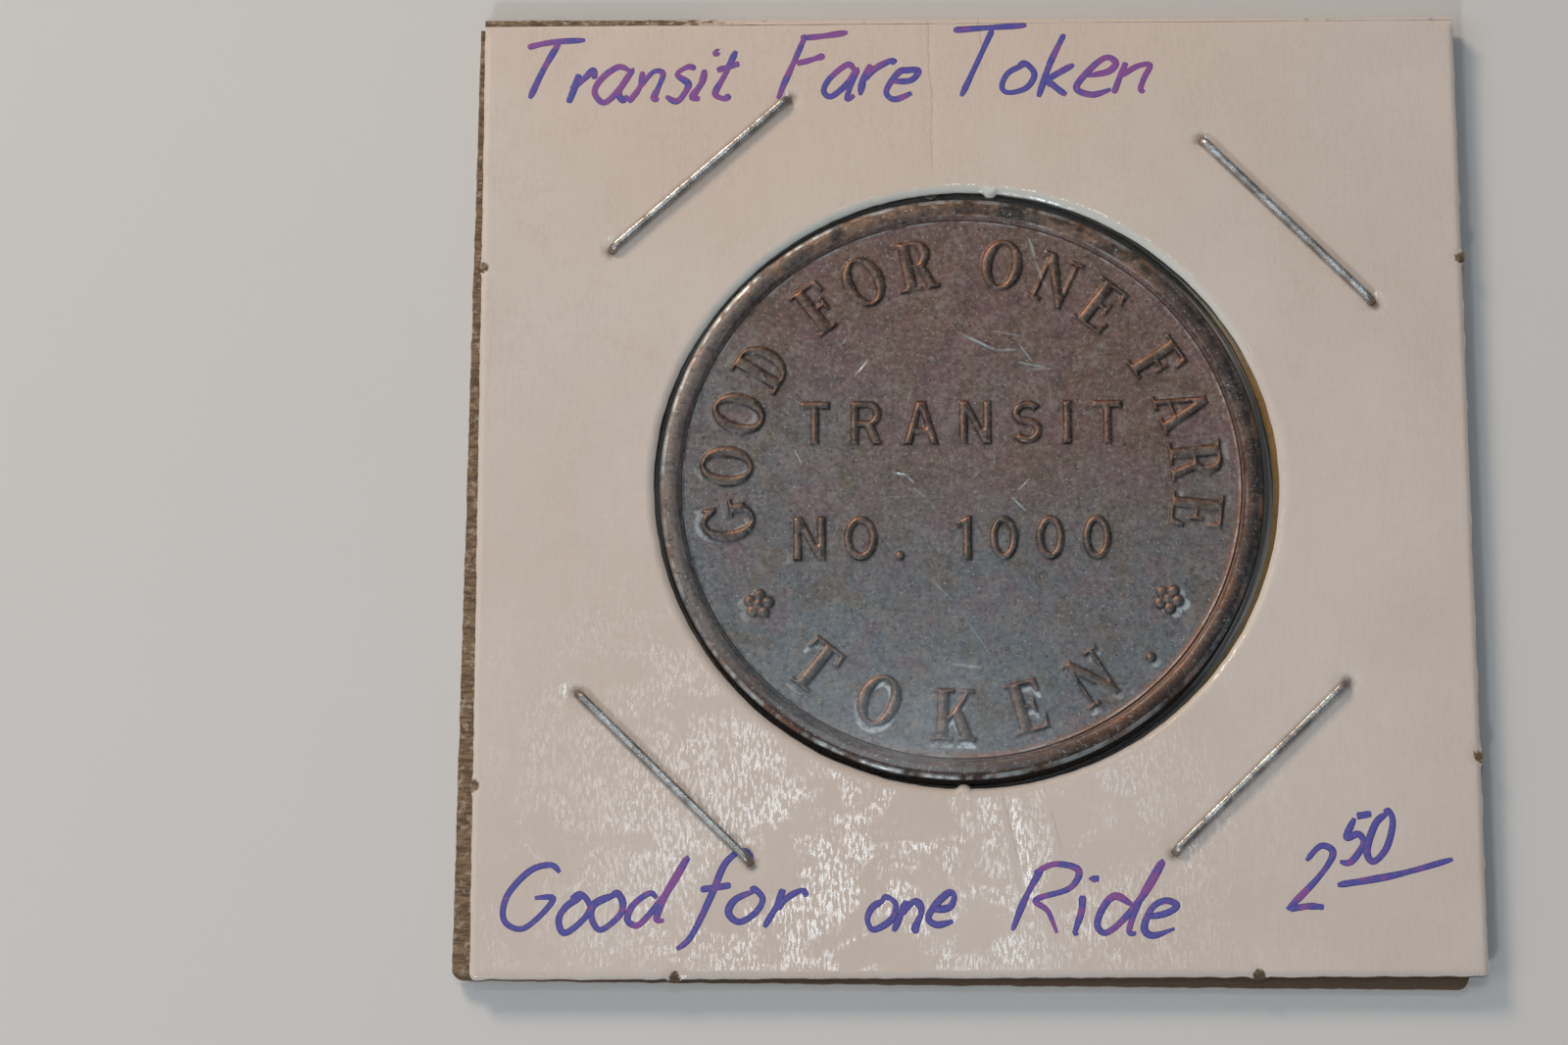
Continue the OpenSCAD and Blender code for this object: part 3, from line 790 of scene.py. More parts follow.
@dataclass(frozen=True)
class CoatedBoard:
    """Die-cut board: cream coating with a streaky sheen over kraft brown fibre, with painted light: a warm
    glow towards the top, a painted highlight on the window's lip, lighter ochre walls in the window's shaded
    gap, painted shade in the creases and round the staple legs, and a painted shadow on the lower ledge.
    """

    cream: Colour = (0.68, 0.575, 0.495)
    pale: Colour = (0.72, 0.635, 0.565)
    warm_glow: Colour = (0.76, 0.595, 0.470)
    kraft: Colour = (0.270, 0.180, 0.105)
    dark_fibre: Colour = (0.110, 0.070, 0.042)
    ochre_and_light: Colour = (0.50, 0.29, 0.10)
    lip_highlight: Colour = (0.70, 0.72, 0.66)
    torn: Colour = (0.74, 0.69, 0.62)
    laid_shade: Colour = (0.52, 0.43, 0.36)
    laid_light: Colour = (0.80, 0.74, 0.68)
    soil: Colour = (0.52, 0.44, 0.36)
    fleck: Colour = (0.40, 0.30, 0.22)
    crease: Colour = (0.36, 0.27, 0.20)
    pale_fibre: Colour = (0.50, 0.42, 0.33)
    creases: Sequence[tuple[Point, Point]] = (
        ((-1.6, 26.0), (-1.35, 17.4)), ((1.15, 26.0), (1.3, 22.5)),
        ((1.9, -16.2), (2.6, -19.5)), ((4.4, -17.0), (4.9, -19.0)))
    crease_width: float = 0.055
    window: Point = FRONT_WINDOW

    def build(self) -> bpy.types.Material:
        """The material."""
        g = ShaderGraph("coated_board")
        x, y = g.axis(0), g.axis(1)
        cloud = g.noise(13.0, detail=3.0)
        smudge = g.noise(3.5, detail=5.0, rough=0.65, shift=15.0, bend=0.5)
        laid = g.noise(0.16, detail=2.0, stretch=(1.0, 9.0, 1.0), shift=2.0)
        cross = g.noise(0.20, detail=2.0, stretch=(9.0, 1.0, 1.0), shift=6.0)
        tooth = g.noise(0.32, detail=5.0, rough=0.65, shift=9.0)
        fibre = g.noise(0.22, detail=6.0, rough=0.75, shift=4.0, stretch=(4.0, 1.0, 1.0))
        coat = (g.attribute("coat") + (tooth - 0.5) * 0.6).step(0.35, 0.65)
        face = g.mix(cloud.step(0.3, 0.7), self.cream, self.pale)
        # Painted warm light: a rosy glow towards the top, strongest left of the middle.
        warm_glow = (y * 0.05 - 0.35 - (x + 6.0) ** 2 * 0.0016 + smudge * 0.5).clamped()
        face = g.mix(warm_glow * 0.55, face, self.warm_glow)
        face = g.mix(laid.step(0.40, 0.75) * 0.10, face, self.laid_shade)
        face = g.mix(cross.step(0.40, 0.75) * 0.08, face, self.laid_light)
        face = g.mix(smudge.step(0.58, 0.80) * 0.16, face, self.soil)
        face = g.mix(tooth.step(0.70, 0.78) * 0.18, face, self.fleck)
        # Painted shade along the creases.
        for start, stop in self.creases:
            line = g.stroke(start, stop, self.crease_width, smudge)
            face = g.mix(line * 0.35, face, self.crease)
        reach = ((x - self.window[0]) ** 2 + (y - self.window[1]) ** 2) ** 0.5
        # Painted highlight on the window's lip, strongest towards the top.
        lip, upper = reach.step(16.22, 16.02), y.step(4.0, 12.0)
        face = g.mix(lip * (upper * 0.75 + 0.15), face, self.lip_highlight)
        face = g.mix(g.attribute("torn") * tooth.step(0.3, 0.6), face, self.torn)
        # Painted shade round the staple legs, in dark fibre colour.
        face = g.mix(g.attribute("dirt"), face, self.dark_fibre)
        core = g.mix(fibre.step(0.40, 0.60), self.dark_fibre, self.kraft)
        core = g.mix(tooth.step(0.53, 0.64) * 0.6, core, self.pale_fibre)
        # Painted shadow: the kraft darkened below the front leaf's lower edge, on the back leaf's ledge.
        core = g.mix(y.step(-24.9, -25.4) * 0.95, core, self.dark_fibre)
        # Window cut walls: a lighter ochre kraft that also paints light into the shaded gap, with a painted
        # highlight towards the top.
        cut = g.mix(upper * 0.9, self.ochre_and_light, self.lip_highlight)
        core = g.mix(reach.step(16.9, 16.5) * (fibre.step(0.30, 0.60) * 0.4 + 0.6), core, cut)
        tone = g.mix(coat, core, face)
        streak = g.noise(0.13, detail=3.0, rough=0.6, stretch=(1.0, 3.5, 1.0), shift=31.0)
        gloss = streak.step(0.47, 0.55) * smudge.step(0.40, 0.54)
        rough = 0.84 - coat * 0.38 - gloss * coat * 0.30
        normal = g.bump(tooth, 0.014, 0.30)
        normal = g.bump(laid, 0.006, 0.35, normal)
        normal = g.bump(streak, 0.004, 0.45, normal)
        normal = g.bump(fibre * (1 - coat), 0.05, 0.8, normal)
        return g.surface(Base_Color=tone, Roughness=rough, Normal=normal)


@dataclass(frozen=True)
class ClearFilm:
    """Thin clear film: see-through, with a gloss that grows at a slant."""

    gloss: Colour = (0.42, 0.42, 0.43)

    def build(self) -> bpy.types.Material:
        """The material."""
        g = ShaderGraph("clear_film")
        wrinkle = g.noise(2.6, detail=2.0, bend=0.4)
        normal = g.bump(wrinkle, 0.04, 0.25)
        clear = g.node("ShaderNodeBsdfTransparent", {"Color": (0.985, 0.985, 0.985)})
        shine = g.node("ShaderNodeBsdfGlossy", {"Color": self.gloss, "Roughness": 0.12, "Normal": normal})
        slant = Expr(g, g.node("ShaderNodeLayerWeight", {"Blend": 0.5, "Normal": normal}).outputs["Facing"])
        share = slant ** 5 * 0.90 + 0.009
        made = g.node("ShaderNodeMixShader", {0: share, 1: clear.outputs[0], 2: shine.outputs[0]})
        return g.shaded(made.outputs[0])


@dataclass(frozen=True)
class StapleWire:
    """Drawn galvanised wire with fine tool marks, tarnished brown at the bends."""

    zinc: Colour = (0.56, 0.56, 0.55)
    dull: Colour = (0.30, 0.28, 0.26)
    tarnish: Colour = (0.20, 0.085, 0.045)

    def build(self) -> bpy.types.Material:
        """The material."""
        g = ShaderGraph("staple_wire")
        drawn = g.noise(0.9, detail=4.0, shift=1.0)
        spots = g.noise(0.20, detail=5.0, rough=0.7, shift=6.0)
        nicks = g.noise(0.10, detail=1.0, shift=12.0)
        tone = g.mix(drawn.step(0.35, 0.65), self.zinc, self.dull)
        brown = (g.attribute("reach").step(0.90, 0.99) * 0.8 + spots.step(0.62, 0.72) * 0.5).clamped()
        tone = g.mix(brown, tone, self.tarnish)
        normal = g.bump(spots, 0.02, 0.5)
        normal = g.bump(nicks.step(0.55, 0.7), 0.02, 0.6, normal)
        return g.surface(
            Base_Color=tone, Metallic=1.0 - brown * 0.5, Roughness=0.24 + spots * 0.22, Normal=normal)


@dataclass(frozen=True)
class PenInk:
    """Dry blue-violet ink, darker along its edges and streaked with magenta."""

    blue: Colour = (0.095, 0.082, 0.40)
    edge: Colour = (0.040, 0.032, 0.22)
    light: Colour = (0.20, 0.18, 0.52)
    magenta: Colour = (0.34, 0.09, 0.33)

    def build(self) -> bpy.types.Material:
        """The material."""
        g = ShaderGraph("pen_ink")
        drift = g.noise(6.0, detail=2.0, shift=8.0)
        patch = g.noise(0.9, detail=4.0, rough=0.65, shift=3.0)
        fleck = g.noise(0.16, detail=3.0, rough=0.7, shift=5.0)
        side = g.attribute("across") + (fleck - 0.5) * 0.5
        tone = g.mix(side.step(0.55, 0.95), self.blue, self.edge)
        tone = g.mix(fleck.step(0.5, 0.72) * 0.7, tone, self.light)
        pink = drift * 0.6 + patch * 0.6 + g.axis(1) * 0.0012
        tone = g.mix(pink.step(0.60, 0.70) * 0.75, tone, self.magenta)
        thin = patch.step(0.62, 0.80) * 0.45 + fleck.step(0.60, 0.75) * 0.35
        return g.surface(Base_Color=tone, Roughness=0.42, Alpha=(0.96 - thin).clamped())


@dataclass(frozen=True)
class PaleFloor:
    """Plain pale matt floor."""

    tone: Colour = (0.72, 0.71, 0.69)
    shade: Colour = (0.66, 0.65, 0.63)

    def build(self) -> bpy.types.Material:
        """The material."""
        g = ShaderGraph("pale_floor")
        grain = g.noise(3.0, detail=3.0)
        tone = g.mix(grain * 0.12, self.tone, self.shade)
        return g.surface(Base_Color=tone, Roughness=0.85)


# --------------------------------------------------------------------------- token


@dataclass(frozen=True)
class Scratch:
    """A groove in the field, with its ends in millimetres from the token's axis."""

    start: Point
    stop: Point
    width: float
    depth: float

    def ends(self) -> tuple[np.ndarray, np.ndarray]:
        """Both ends as vectors."""
        return np.array(self.start), np.array(self.stop)


DINGS = (
    Scratch((0.1, 8.1), (1.9, 7.2), 0.075, 0.045), Scratch((1.9, 7.25), (2.9, 7.3), 0.06, 0.03),
    Scratch((1.6, 8.3), (3.2, 8.0), 0.045, 0.015), Scratch((3.0, 7.6), (3.7, 6.6), 0.055, 0.025),
    Scratch((2.9, 6.6), (4.4, 6.3), 0.06, 0.03), Scratch((3.4, 6.2), (4.8, 6.25), 0.05, 0.02),
    Scratch((-5.3, 6.1), (-4.8, 6.8), 0.055, 0.03), Scratch((-5.5, 5.9), (-5.1, 6.5), 0.05, 0.02),
    Scratch((-6.1, 7.6), (-5.8, 8.1), 0.045, 0.012), Scratch((-3.6, 0.7), (-2.7, 0.55), 0.07, 0.04),
    Scratch((-2.8, 0.5), (-2.4, 0.1), 0.06, 0.035), Scratch((-2.5, -0.1), (-1.9, -0.6), 0.05, 0.02),
    Scratch((2.5, -0.6), (3.3, -1.4), 0.06, 0.04), Scratch((2.8, -0.3), (3.5, 0.4), 0.045, 0.018),
    Scratch((3.6, 13.4), (3.9, 12.2), 0.06, 0.03), Scratch((3.9, 12.2), (4.4, 10.7), 0.05, 0.02),
    Scratch((-1.7, -4.9), (-0.6, -6.0), 0.045, 0.015), Scratch((-0.6, -9.4), (0.9, -9.6), 0.06, 0.03),
    Scratch((0.1, -7.0), (1.4, -9.0), 0.04, 0.012), Scratch((-8.6, 2.0), (-8.2, 1.2), 0.05, 0.025),
)


def hairlines(count: int, reach: float, seed: int) -> list[Scratch]:
    """Fine handling marks.

    Args:
        count: how many.
        reach: the field's radius in millimetres.
        seed: which set.

    Returns:
        The marks, shallow and in all directions.
    """
    source = np.random.default_rng(seed)
    made = []
    for _ in range(count):
        radius, turn, heading = source.uniform((0, 0, 0), (reach, 2 * math.pi, math.pi))
        length = source.uniform(0.6, 3.2)
        x, y = radius * math.cos(turn), radius * math.sin(turn)
        stop = (x + length * math.cos(heading), y + length * math.sin(heading))
        made.append(Scratch((x, y), stop, source.uniform(0.03, 0.05), source.uniform(0.002, 0.007)))
    return made


@dataclass
class Token:
    """The struck disc: a turned blank, three struck zones on its front and beads on its back."""

    rim_width: float = 1.05
    field_depth: float = 0.25
    relief: float = 0.18
    slope: float = 0.13
    inset: float = 0.045
    edge_round: float = 0.30
    border: float = 14.30
    seams: Point = (7.0, 10.4)
    core_drop: float = 0.12
    legend_foot: float = 10.7
    rosette_ring: float = 12.1
    rosette_size: float = 0.80
    rosette_turns: Sequence[float] = (-149.0, -30.0)
    cells: int = 290

    def __post_init__(self) -> None:
        """Reads the disc's place and size from the frame."""
        low, high = box_mm("token")
        self.radius = (high.x - low.x) / 2
        self.bottom, self.top = low.z, high.z
        self.field_z = self.top - self.field_depth
        self.core_z = self.field_z - self.core_drop
        self.back_field_z = self.bottom + self.field_depth
        legend = StruckWord("GOOD FOR ONE FARE", SERIF, 2.75, 2.55).over_top(self.legend_foot, 1.5)
        base = StruckWord("TOKEN.", SERIF, 2.75, 5.85).along_bottom(self.legend_foot, 2.0)
        upper = StruckWord("TRANSIT", BLOCK, 2.35, 4.3).straight(0.0, 2.2)
        lower = StruckWord("NO. 1000", BLOCK, 2.35, 3.7).straight(-0.5, -3.95)
        self.marks = legend + base + upper + lower
        self.scratches = [*DINGS, *hairlines(90, 13.0, 5)]

    def rosettes(self, points: np.ndarray) -> np.ndarray:
        """Signed distance to the two five-petal rosettes."""
        best = np.full(len(points), np.inf)
        reach, petal, heart = (self.rosette_size * share for share in (0.60, 0.41, 0.40))
        middles = self.rosette_ring * headings(np.radians(self.rosette_turns))
        for middle, turn in zip(middles, self.rosette_turns):
            leans = np.radians(90 + 72 * np.arange(5) + turn)
            for offset in reach * headings(leans):
                best = np.minimum(best, np.hypot(*(points - middle - offset).T) - petal)
            best = np.minimum(best, np.hypot(*(points - middle).T) - heart)
        return best

    def distance(self, points: np.ndarray) -> np.ndarray:
        """Signed distance from each point to the nearest raised mark."""
        best = self.rosettes(points)
        margin = 0.7
        for loops in self.marks:
            low, high = loops[0].min(0) - margin, loops[0].max(0) + margin
            near = np.all((points > low) & (points < high), axis=1)
            best[near] = np.minimum(best[near], signed_distance(points[near], loops))
        return best + self.inset

    def grooves(self, points: np.ndarray) -> tuple[np.ndarray, np.ndarray]:
        """Depth of the scratches and how bare they leave the metal, at each point."""
        depth = np.zeros(len(points))
        bare = np.zeros(len(points))
        for mark in self.scratches:
            start, stop = mark.ends()
            reach = 4 * mark.width
            low, high = np.minimum(start, stop) - reach, np.maximum(start, stop) + reach
            near = np.flatnonzero(np.all((points > low) & (points < high), axis=1))
            gap, share = line_gap(points[near], start, stop)
            gap = gap / mark.width
            taper = np.clip(4 * share * (1 - share), 0, 1) ** 0.6
            cut = np.exp(-gap ** 2) * taper
            ridge = np.exp(-(gap - 1.5) ** 2 * 2.5) * taper
            depth[near] += mark.depth * (cut - 0.55 * ridge)
            shown = np.clip(mark.depth / 0.035, 0, 1) * np.exp(-(gap - 0.6) ** 2 * 3) * taper
            bare[near] = np.maximum(bare[near], shown)
        return depth, bare

    def struck(self, points: np.ndarray) -> tuple[np.ndarray, dict[str, np.ndarray]]:
        """Height and ageing marks of the front field at each point, with painted light: shade below the
        letters, highlights on their upper edges, and glints beside them and along the rim's foot.
        """
        gap = self.distance(points)
        radius = np.hypot(points[:, 0], points[:, 1])
        rise = self.relief * (0.62 * smooth_step(-gap, -self.slope * 0.5, self.slope * 0.5)
                              + 0.38 * smooth_step(-gap, 0.0, 0.26))
        groove, bare = self.grooves(points)
        worn_top = 0.010 * waves(points, 1.2, 3) * smooth_step(-gap, 0.0, 0.1)
        sag = 0.004 * waves(points, 5.5, 1) + 0.0007 * waves(points, 1.1, 2)
        sag *= 1 - smooth_step(radius, self.border - 0.5, self.border)
        dish = 0.03 * smooth_step(radius, 13.2, self.border - 0.15)
        heights = self.field_z + rise + sag + worn_top + dish - groove
        heights += 0.03 * smooth_step(radius, self.border - 0.12, self.border - 0.01)
        patchy = np.clip(0.75 + 0.5 * waves(points, 1.6, 4), 0.3, 1)
        below = np.clip(0.5 - (self.distance(points + np.array([-0.02, 0.046])) - gap) / 0.1, 0, 1)
        # Dark grime round the letters' feet, with painted shade that is heavier on their lower sides.
        dirt = np.exp(-np.clip(gap - 0.02, 0, None) / 0.07) * smooth_step(gap, -0.06, 0.0) * patchy
        dirt *= 0.35 + 0.65 * below
        # Painted warm highlight on the letters' upper edges.
        wear = np.exp(-((gap + 0.10) / 0.07) ** 2) * (1 - below) ** 1.5 * 1.3
        # Painted glint: a pale bare line along the rim's foot.
        bright = np.clip(0.25 + 0.5 * waves(points, 2.4, 8) + 0.3 * waves(points, 0.5, 9), 0, 0.7)
        bare = np.maximum(bare, bright * np.exp(-((radius - self.border + 0.06) / 0.04) ** 2))
        raised = smooth_step(-gap, 0.0, 0.08)
        edge = smooth_step(radius, self.border - 0.40, self.border - 0.10)
        # Pale flow smears on the outer side of the letters, which also carry painted glints.
        inward = points * (1 - 0.38 / np.clip(radius, 0.5, None))[:, None]
        shadowed = smooth_step(-self.distance(inward), -0.05, 0.03) * smooth_step(gap, 0.02, 0.07)
        flow = shadowed * smooth_step(radius, 9.0, 10.5) * np.clip(0.5 + 0.7 * waves(points, 3.5, 6), 0, 1)
        return heights, {"dirt": dirt, "wear": wear, "edge": edge, "scratch": bare * 0.8, "flow": flow,
                         "raised": raised}

    def centre_points(self) -> np.ndarray:
        """A square grid of points mapped evenly onto the disc inside the first seam."""
        side = np.linspace(-1, 1, self.cells + 1)
        a, b = np.meshgrid(side, side, indexing="xy")
        a, b = a.ravel(), b.ravel()
        wide = np.abs(a) > np.abs(b)
        reach = np.where(wide, a, b)
        safe = np.where(reach == 0, 1.0, reach)
        angle = np.where(wide, math.pi / 4 * b / safe, math.pi / 2 - math.pi / 4 * a / safe)
        return self.seams[0] * reach[:, None] * headings(angle)

    def build_centre(self, material: bpy.types.Material) -> bpy.types.Object:
        """The middle of the struck front, a closed slab."""
        flat = self.centre_points()
        heights, marks = self.struck(flat)
        shell = Shell()
        shell.add(np.column_stack([flat, heights]), **marks)
        n, row = self.cells, self.cells + 1
        for j in range(n):
            for i in range(n):
                k = j * row + i
                shell.faces.append((k, k + 1, k + row + 1, k + row))
        rim = [*range(n), *(i * row + n for i in range(n)), *(n * row + n - i for i in range(n)),
               *((n - i) * row for i in range(n))]
        first = shell.add(lifted(flat[rim], self.core_z), **BARE_METAL)
        for i, upper in enumerate(rim):
            j = (i + 1) % len(rim)
            shell.faces.append((rim[j], upper, first + i, first + j))
        shell.fan(first, len(rim), (0, 0, self.core_z), back=True, **BARE_METAL)
        return shell.build("token_front_centre", material)

    def build_ring(self, name: str, inner: float, outer: float, rows: int,
                   material: bpy.types.Material) -> bpy.types.Object:
        """A ring of the struck front, closed all round.

        Args:
            name: the piece's name.
            inner: inner radius in millimetres.
            outer: outer radius.
            rows: rings of points across it.
            material: its finish.

        Returns:
            The piece.
        """
        count = 4 * self.cells
        angles = np.arange(count) * 2 * math.pi / count - 3 * math.pi / 4
        radii = np.linspace(inner, outer, rows)
        grid = np.concatenate([circle_points(r, angles, 0.0)[:, :2] for r in radii])
        heights, marks = self.struck(grid)
        rings = [circle_points(inner, angles, self.core_z)]
        ring_marks: list[dict[str, Any]] = [BARE_METAL]
        for i, radius in enumerate(radii):
            part = slice(i * count, (i + 1) * count)
            rings.append(circle_points(radius, angles, heights[part]))
            ring_marks.append({label: values[part] for label, values in marks.items()})
        rings.append(circle_points(outer, angles, self.core_z))
        ring_marks.append(BARE_METAL)
        shell = Shell()
        shell.loft(rings, True, ring_marks)
        return shell.build(name, material)

    def profile(self) -> list[tuple[float, float, float, float, float]]:
        """Radius, height, wear and highlight, dirt and painted shade, and edge tone of the rim, from the
        field out to the edge.
        """
        inner = self.radius - self.rim_width
        crown = 0.05
        shoulder = inner + 0.22
        foot = self.field_z - 0.005
        climb = self.top - crown - foot
        rows = [(self.border, self.core_z, 0, 0, 1), (self.border, foot, 0, 0.7, 1),
                (self.border + 0.04, foot - 0.01, 0, 1.0, 1)]
        for share in np.linspace(0.1, 1, 9):
            lift = float(smooth_step(share, 0, 1))
            rows.append((self.border + 0.05 + (shoulder - self.border - 0.05) * share, foot + climb * lift,
                         0.6 * share, 0.5 * (1 - share) ** 4, 1 - 0.8 * share))
        flat = self.radius - self.edge_round - shoulder
        for share in np.linspace(0.08, 1, 12):
            arch = crown * (1 - (1.5 * share - 0.75) ** 2 / 0.5625)
            rows.append((shoulder + flat * share, self.top - crown + max(arch, 0.0), 0.15, 0.0,
                         0.2 - 0.2 * share))
        drop = self.edge_round - crown
        # On the outer round: wear on its upper part, and dark dirt with painted shade on its lower part,
        # where it drops into the gap.
        for angle in np.linspace(75, 0, 9):
            lean = math.radians(angle)
            rows.append((self.radius - self.edge_round + self.edge_round * math.cos(lean),
                         self.top - self.edge_round + drop * math.sin(lean),
                         0.9 if angle > 35 else 0.0, 0.0 if angle > 35 else 0.8, 0.0))
        return rows

    def build_blank(self, material: bpy.types.Material) -> bpy.types.Object:
        """The turned body: rim, edge and the plain back field with its own rim."""
        count = 2 * self.cells
        angles = np.linspace(0, 2 * math.pi, count, endpoint=False)
        middle = (self.top + self.bottom) / 2
        front = self.profile()
        back = [(r, 2 * middle - z, wear, dirt, edge) for r, z, wear, dirt, edge in reversed(front[1:])]
        back += [(r, self.back_field_z + (0.005 if r > 13 else 0.0), 0, 0, 0) for r in (13.5, 9.0, 5.0, 1.5)]
        rings, marks = [], []
        flat = headings(angles)
        for radius, z, wear, dirt, edge in front + back:
            near = flat * radius
            soft = 0.008 if radius > self.border + 0.3 else 0.0
            inward = 1 if z > middle else -1
            ring = circle_points(radius - soft * (1 + waves(near, 3.0, 21)) * 0.5, angles,
                                 z - soft * (1 + waves(near, 2.6, 22)) * 0.5 * inward)
            rings.append(ring)
            rub = np.clip(0.5 + 0.6 * waves(near, 3.0, 23), 0, 1)
            # Bare polish on the rim's ridges, strongest at the upper left and lower left: partly polish,
            # partly painted glints.
            spread = np.maximum(np.cos(angles - math.radians(118)), np.cos(angles - math.radians(245)))
            spread = np.clip(0.2 + 0.9 * spread, 0.05, 1)
            ridge = wear > 0.8 or (0.30 < wear < 0.5 and radius < 15)
            glint = np.clip(0.35 + 0.5 * waves(near, 2.7, 24) + 0.35 * waves(near, 0.6, 25), 0, 1)
            polished_glint = glint * ridge * (0.85 * spread if radius > 15 else 0.3)
            marks.append({**BARE_METAL, "wear": wear * rub, "dirt": dirt, "edge": edge, "scratch": polished_glint})
        shell = Shell()
        starts = shell.loft(rings, False, marks)
        shell.fan(starts[0], count, (0, 0, self.core_z), back=True, **BARE_METAL)
        shell.fan(starts[-1], count, (0, 0, self.back_field_z), **BARE_METAL)
        return shell.build("token_blank", material)

    @staticmethod
    def bead_tree() -> GrowTree:
        """A tree that sets flattened domes round a circle."""
        tree = GrowTree("beads", {"Count": "NodeSocketInt", "Ring radius": "NodeSocketFloat",
                                  "Bead radius": "NodeSocketFloat", "Height": "NodeSocketFloat",
                                  "Level": "NodeSocketFloat", "Material": "NodeSocketMaterial"})
        ring = tree.node("GeometryNodeMeshCircle", {"Vertices": tree.input("Count"),
                                                    "Radius": tree.input("Ring radius")})
        bead = tree.node("GeometryNodeMeshUVSphere", {"Segments": 16, "Rings": 8, "Radius": 1.0})
        wide = tree.input("Bead radius")
        size = tree.node("ShaderNodeCombineXYZ", {"X": wide, "Y": wide, "Z": tree.input("Height")})
        placed = tree.node("GeometryNodeInstanceOnPoints", {
            "Points": ring.outputs[0], "Instance": bead.outputs[0], "Scale": size.outputs[0]})
        lift = tree.node("ShaderNodeCombineXYZ", {"Z": tree.input("Level")})
        moved = tree.node("GeometryNodeTransform", {
            "Geometry": placed.outputs[0], "Translation": lift.outputs[0]})
        tree.end(moved.outputs[0])
        return tree

    def build_back_marks(self, material: bpy.types.Material) -> list[bpy.types.Object]:
        """The bead ring and the rosette on the back."""
        tree = self.bead_tree()
        pieces = []
        rows = (("token_back_beads", 40, 13.4, 0.35, 0.16), ("token_back_petals", 5, 2.6, 1.95, 0.17),
                ("token_back_stamens", 10, 4.9, 0.28, 0.13))
        for name, count, ring, bead, height in rows:
            host = place_data(bpy.data.meshes.new(name), name + "_host")
            values = {"Count": count, "Ring radius": ring * MM, "Bead radius": bead * MM,
                      "Height": height * MM, "Level": self.back_field_z * MM, "Material": material}
            pieces.append(tree.grow(host, name, values))
        return pieces

    def build(self, finish: TonedCopper) -> None:
        """Builds and dresses every piece of the token."""
        material = finish.build()
        blank = self.build_blank(material)
        inner, outer = self.seams
        pieces = [blank, self.build_centre(material),
                  self.build_ring("token_front_lines", inner, outer, 70, material),
                  self.build_ring("token_front_legend", outer, self.border, 76, material),
                  *self.build_back_marks(material)]
        for piece in pieces:
            register(piece, TOKEN, "token_metal")
        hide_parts("token")


# --------------------------------------------------------------------------- holder


class LeafSide(Enum):
    """Which way a leaf's coated face points."""

    FRONT = 1.0
    BACK = -1.0


@dataclass(frozen=True)
class StaplePlace:
    """Middle of a staple's crown and its direction in degrees."""

    name: str
    x: float
    y: float
    turn: float

    def ends(self, reach: float) -> list[np.ndarray]:
        """The two points at reach from the middle, along the crown."""
        middle, angle = np.array([self.x, self.y]), math.radians(self.turn)
        along = np.array([math.cos(angle), math.sin(angle)])
        return [middle + side * reach * along for side in (-1, 1)]


STAPLES = (
    StaplePlace("staple_top_left", -13.45, 16.95, 42.0),
    StaplePlace("staple_top_right", 17.0, 14.2, -46.0),
    StaplePlace("staple_bottom_left", -15.15, -15.25, -45.0),
    StaplePlace("staple_bottom_right", 14.95, -14.85, 44.5),
)


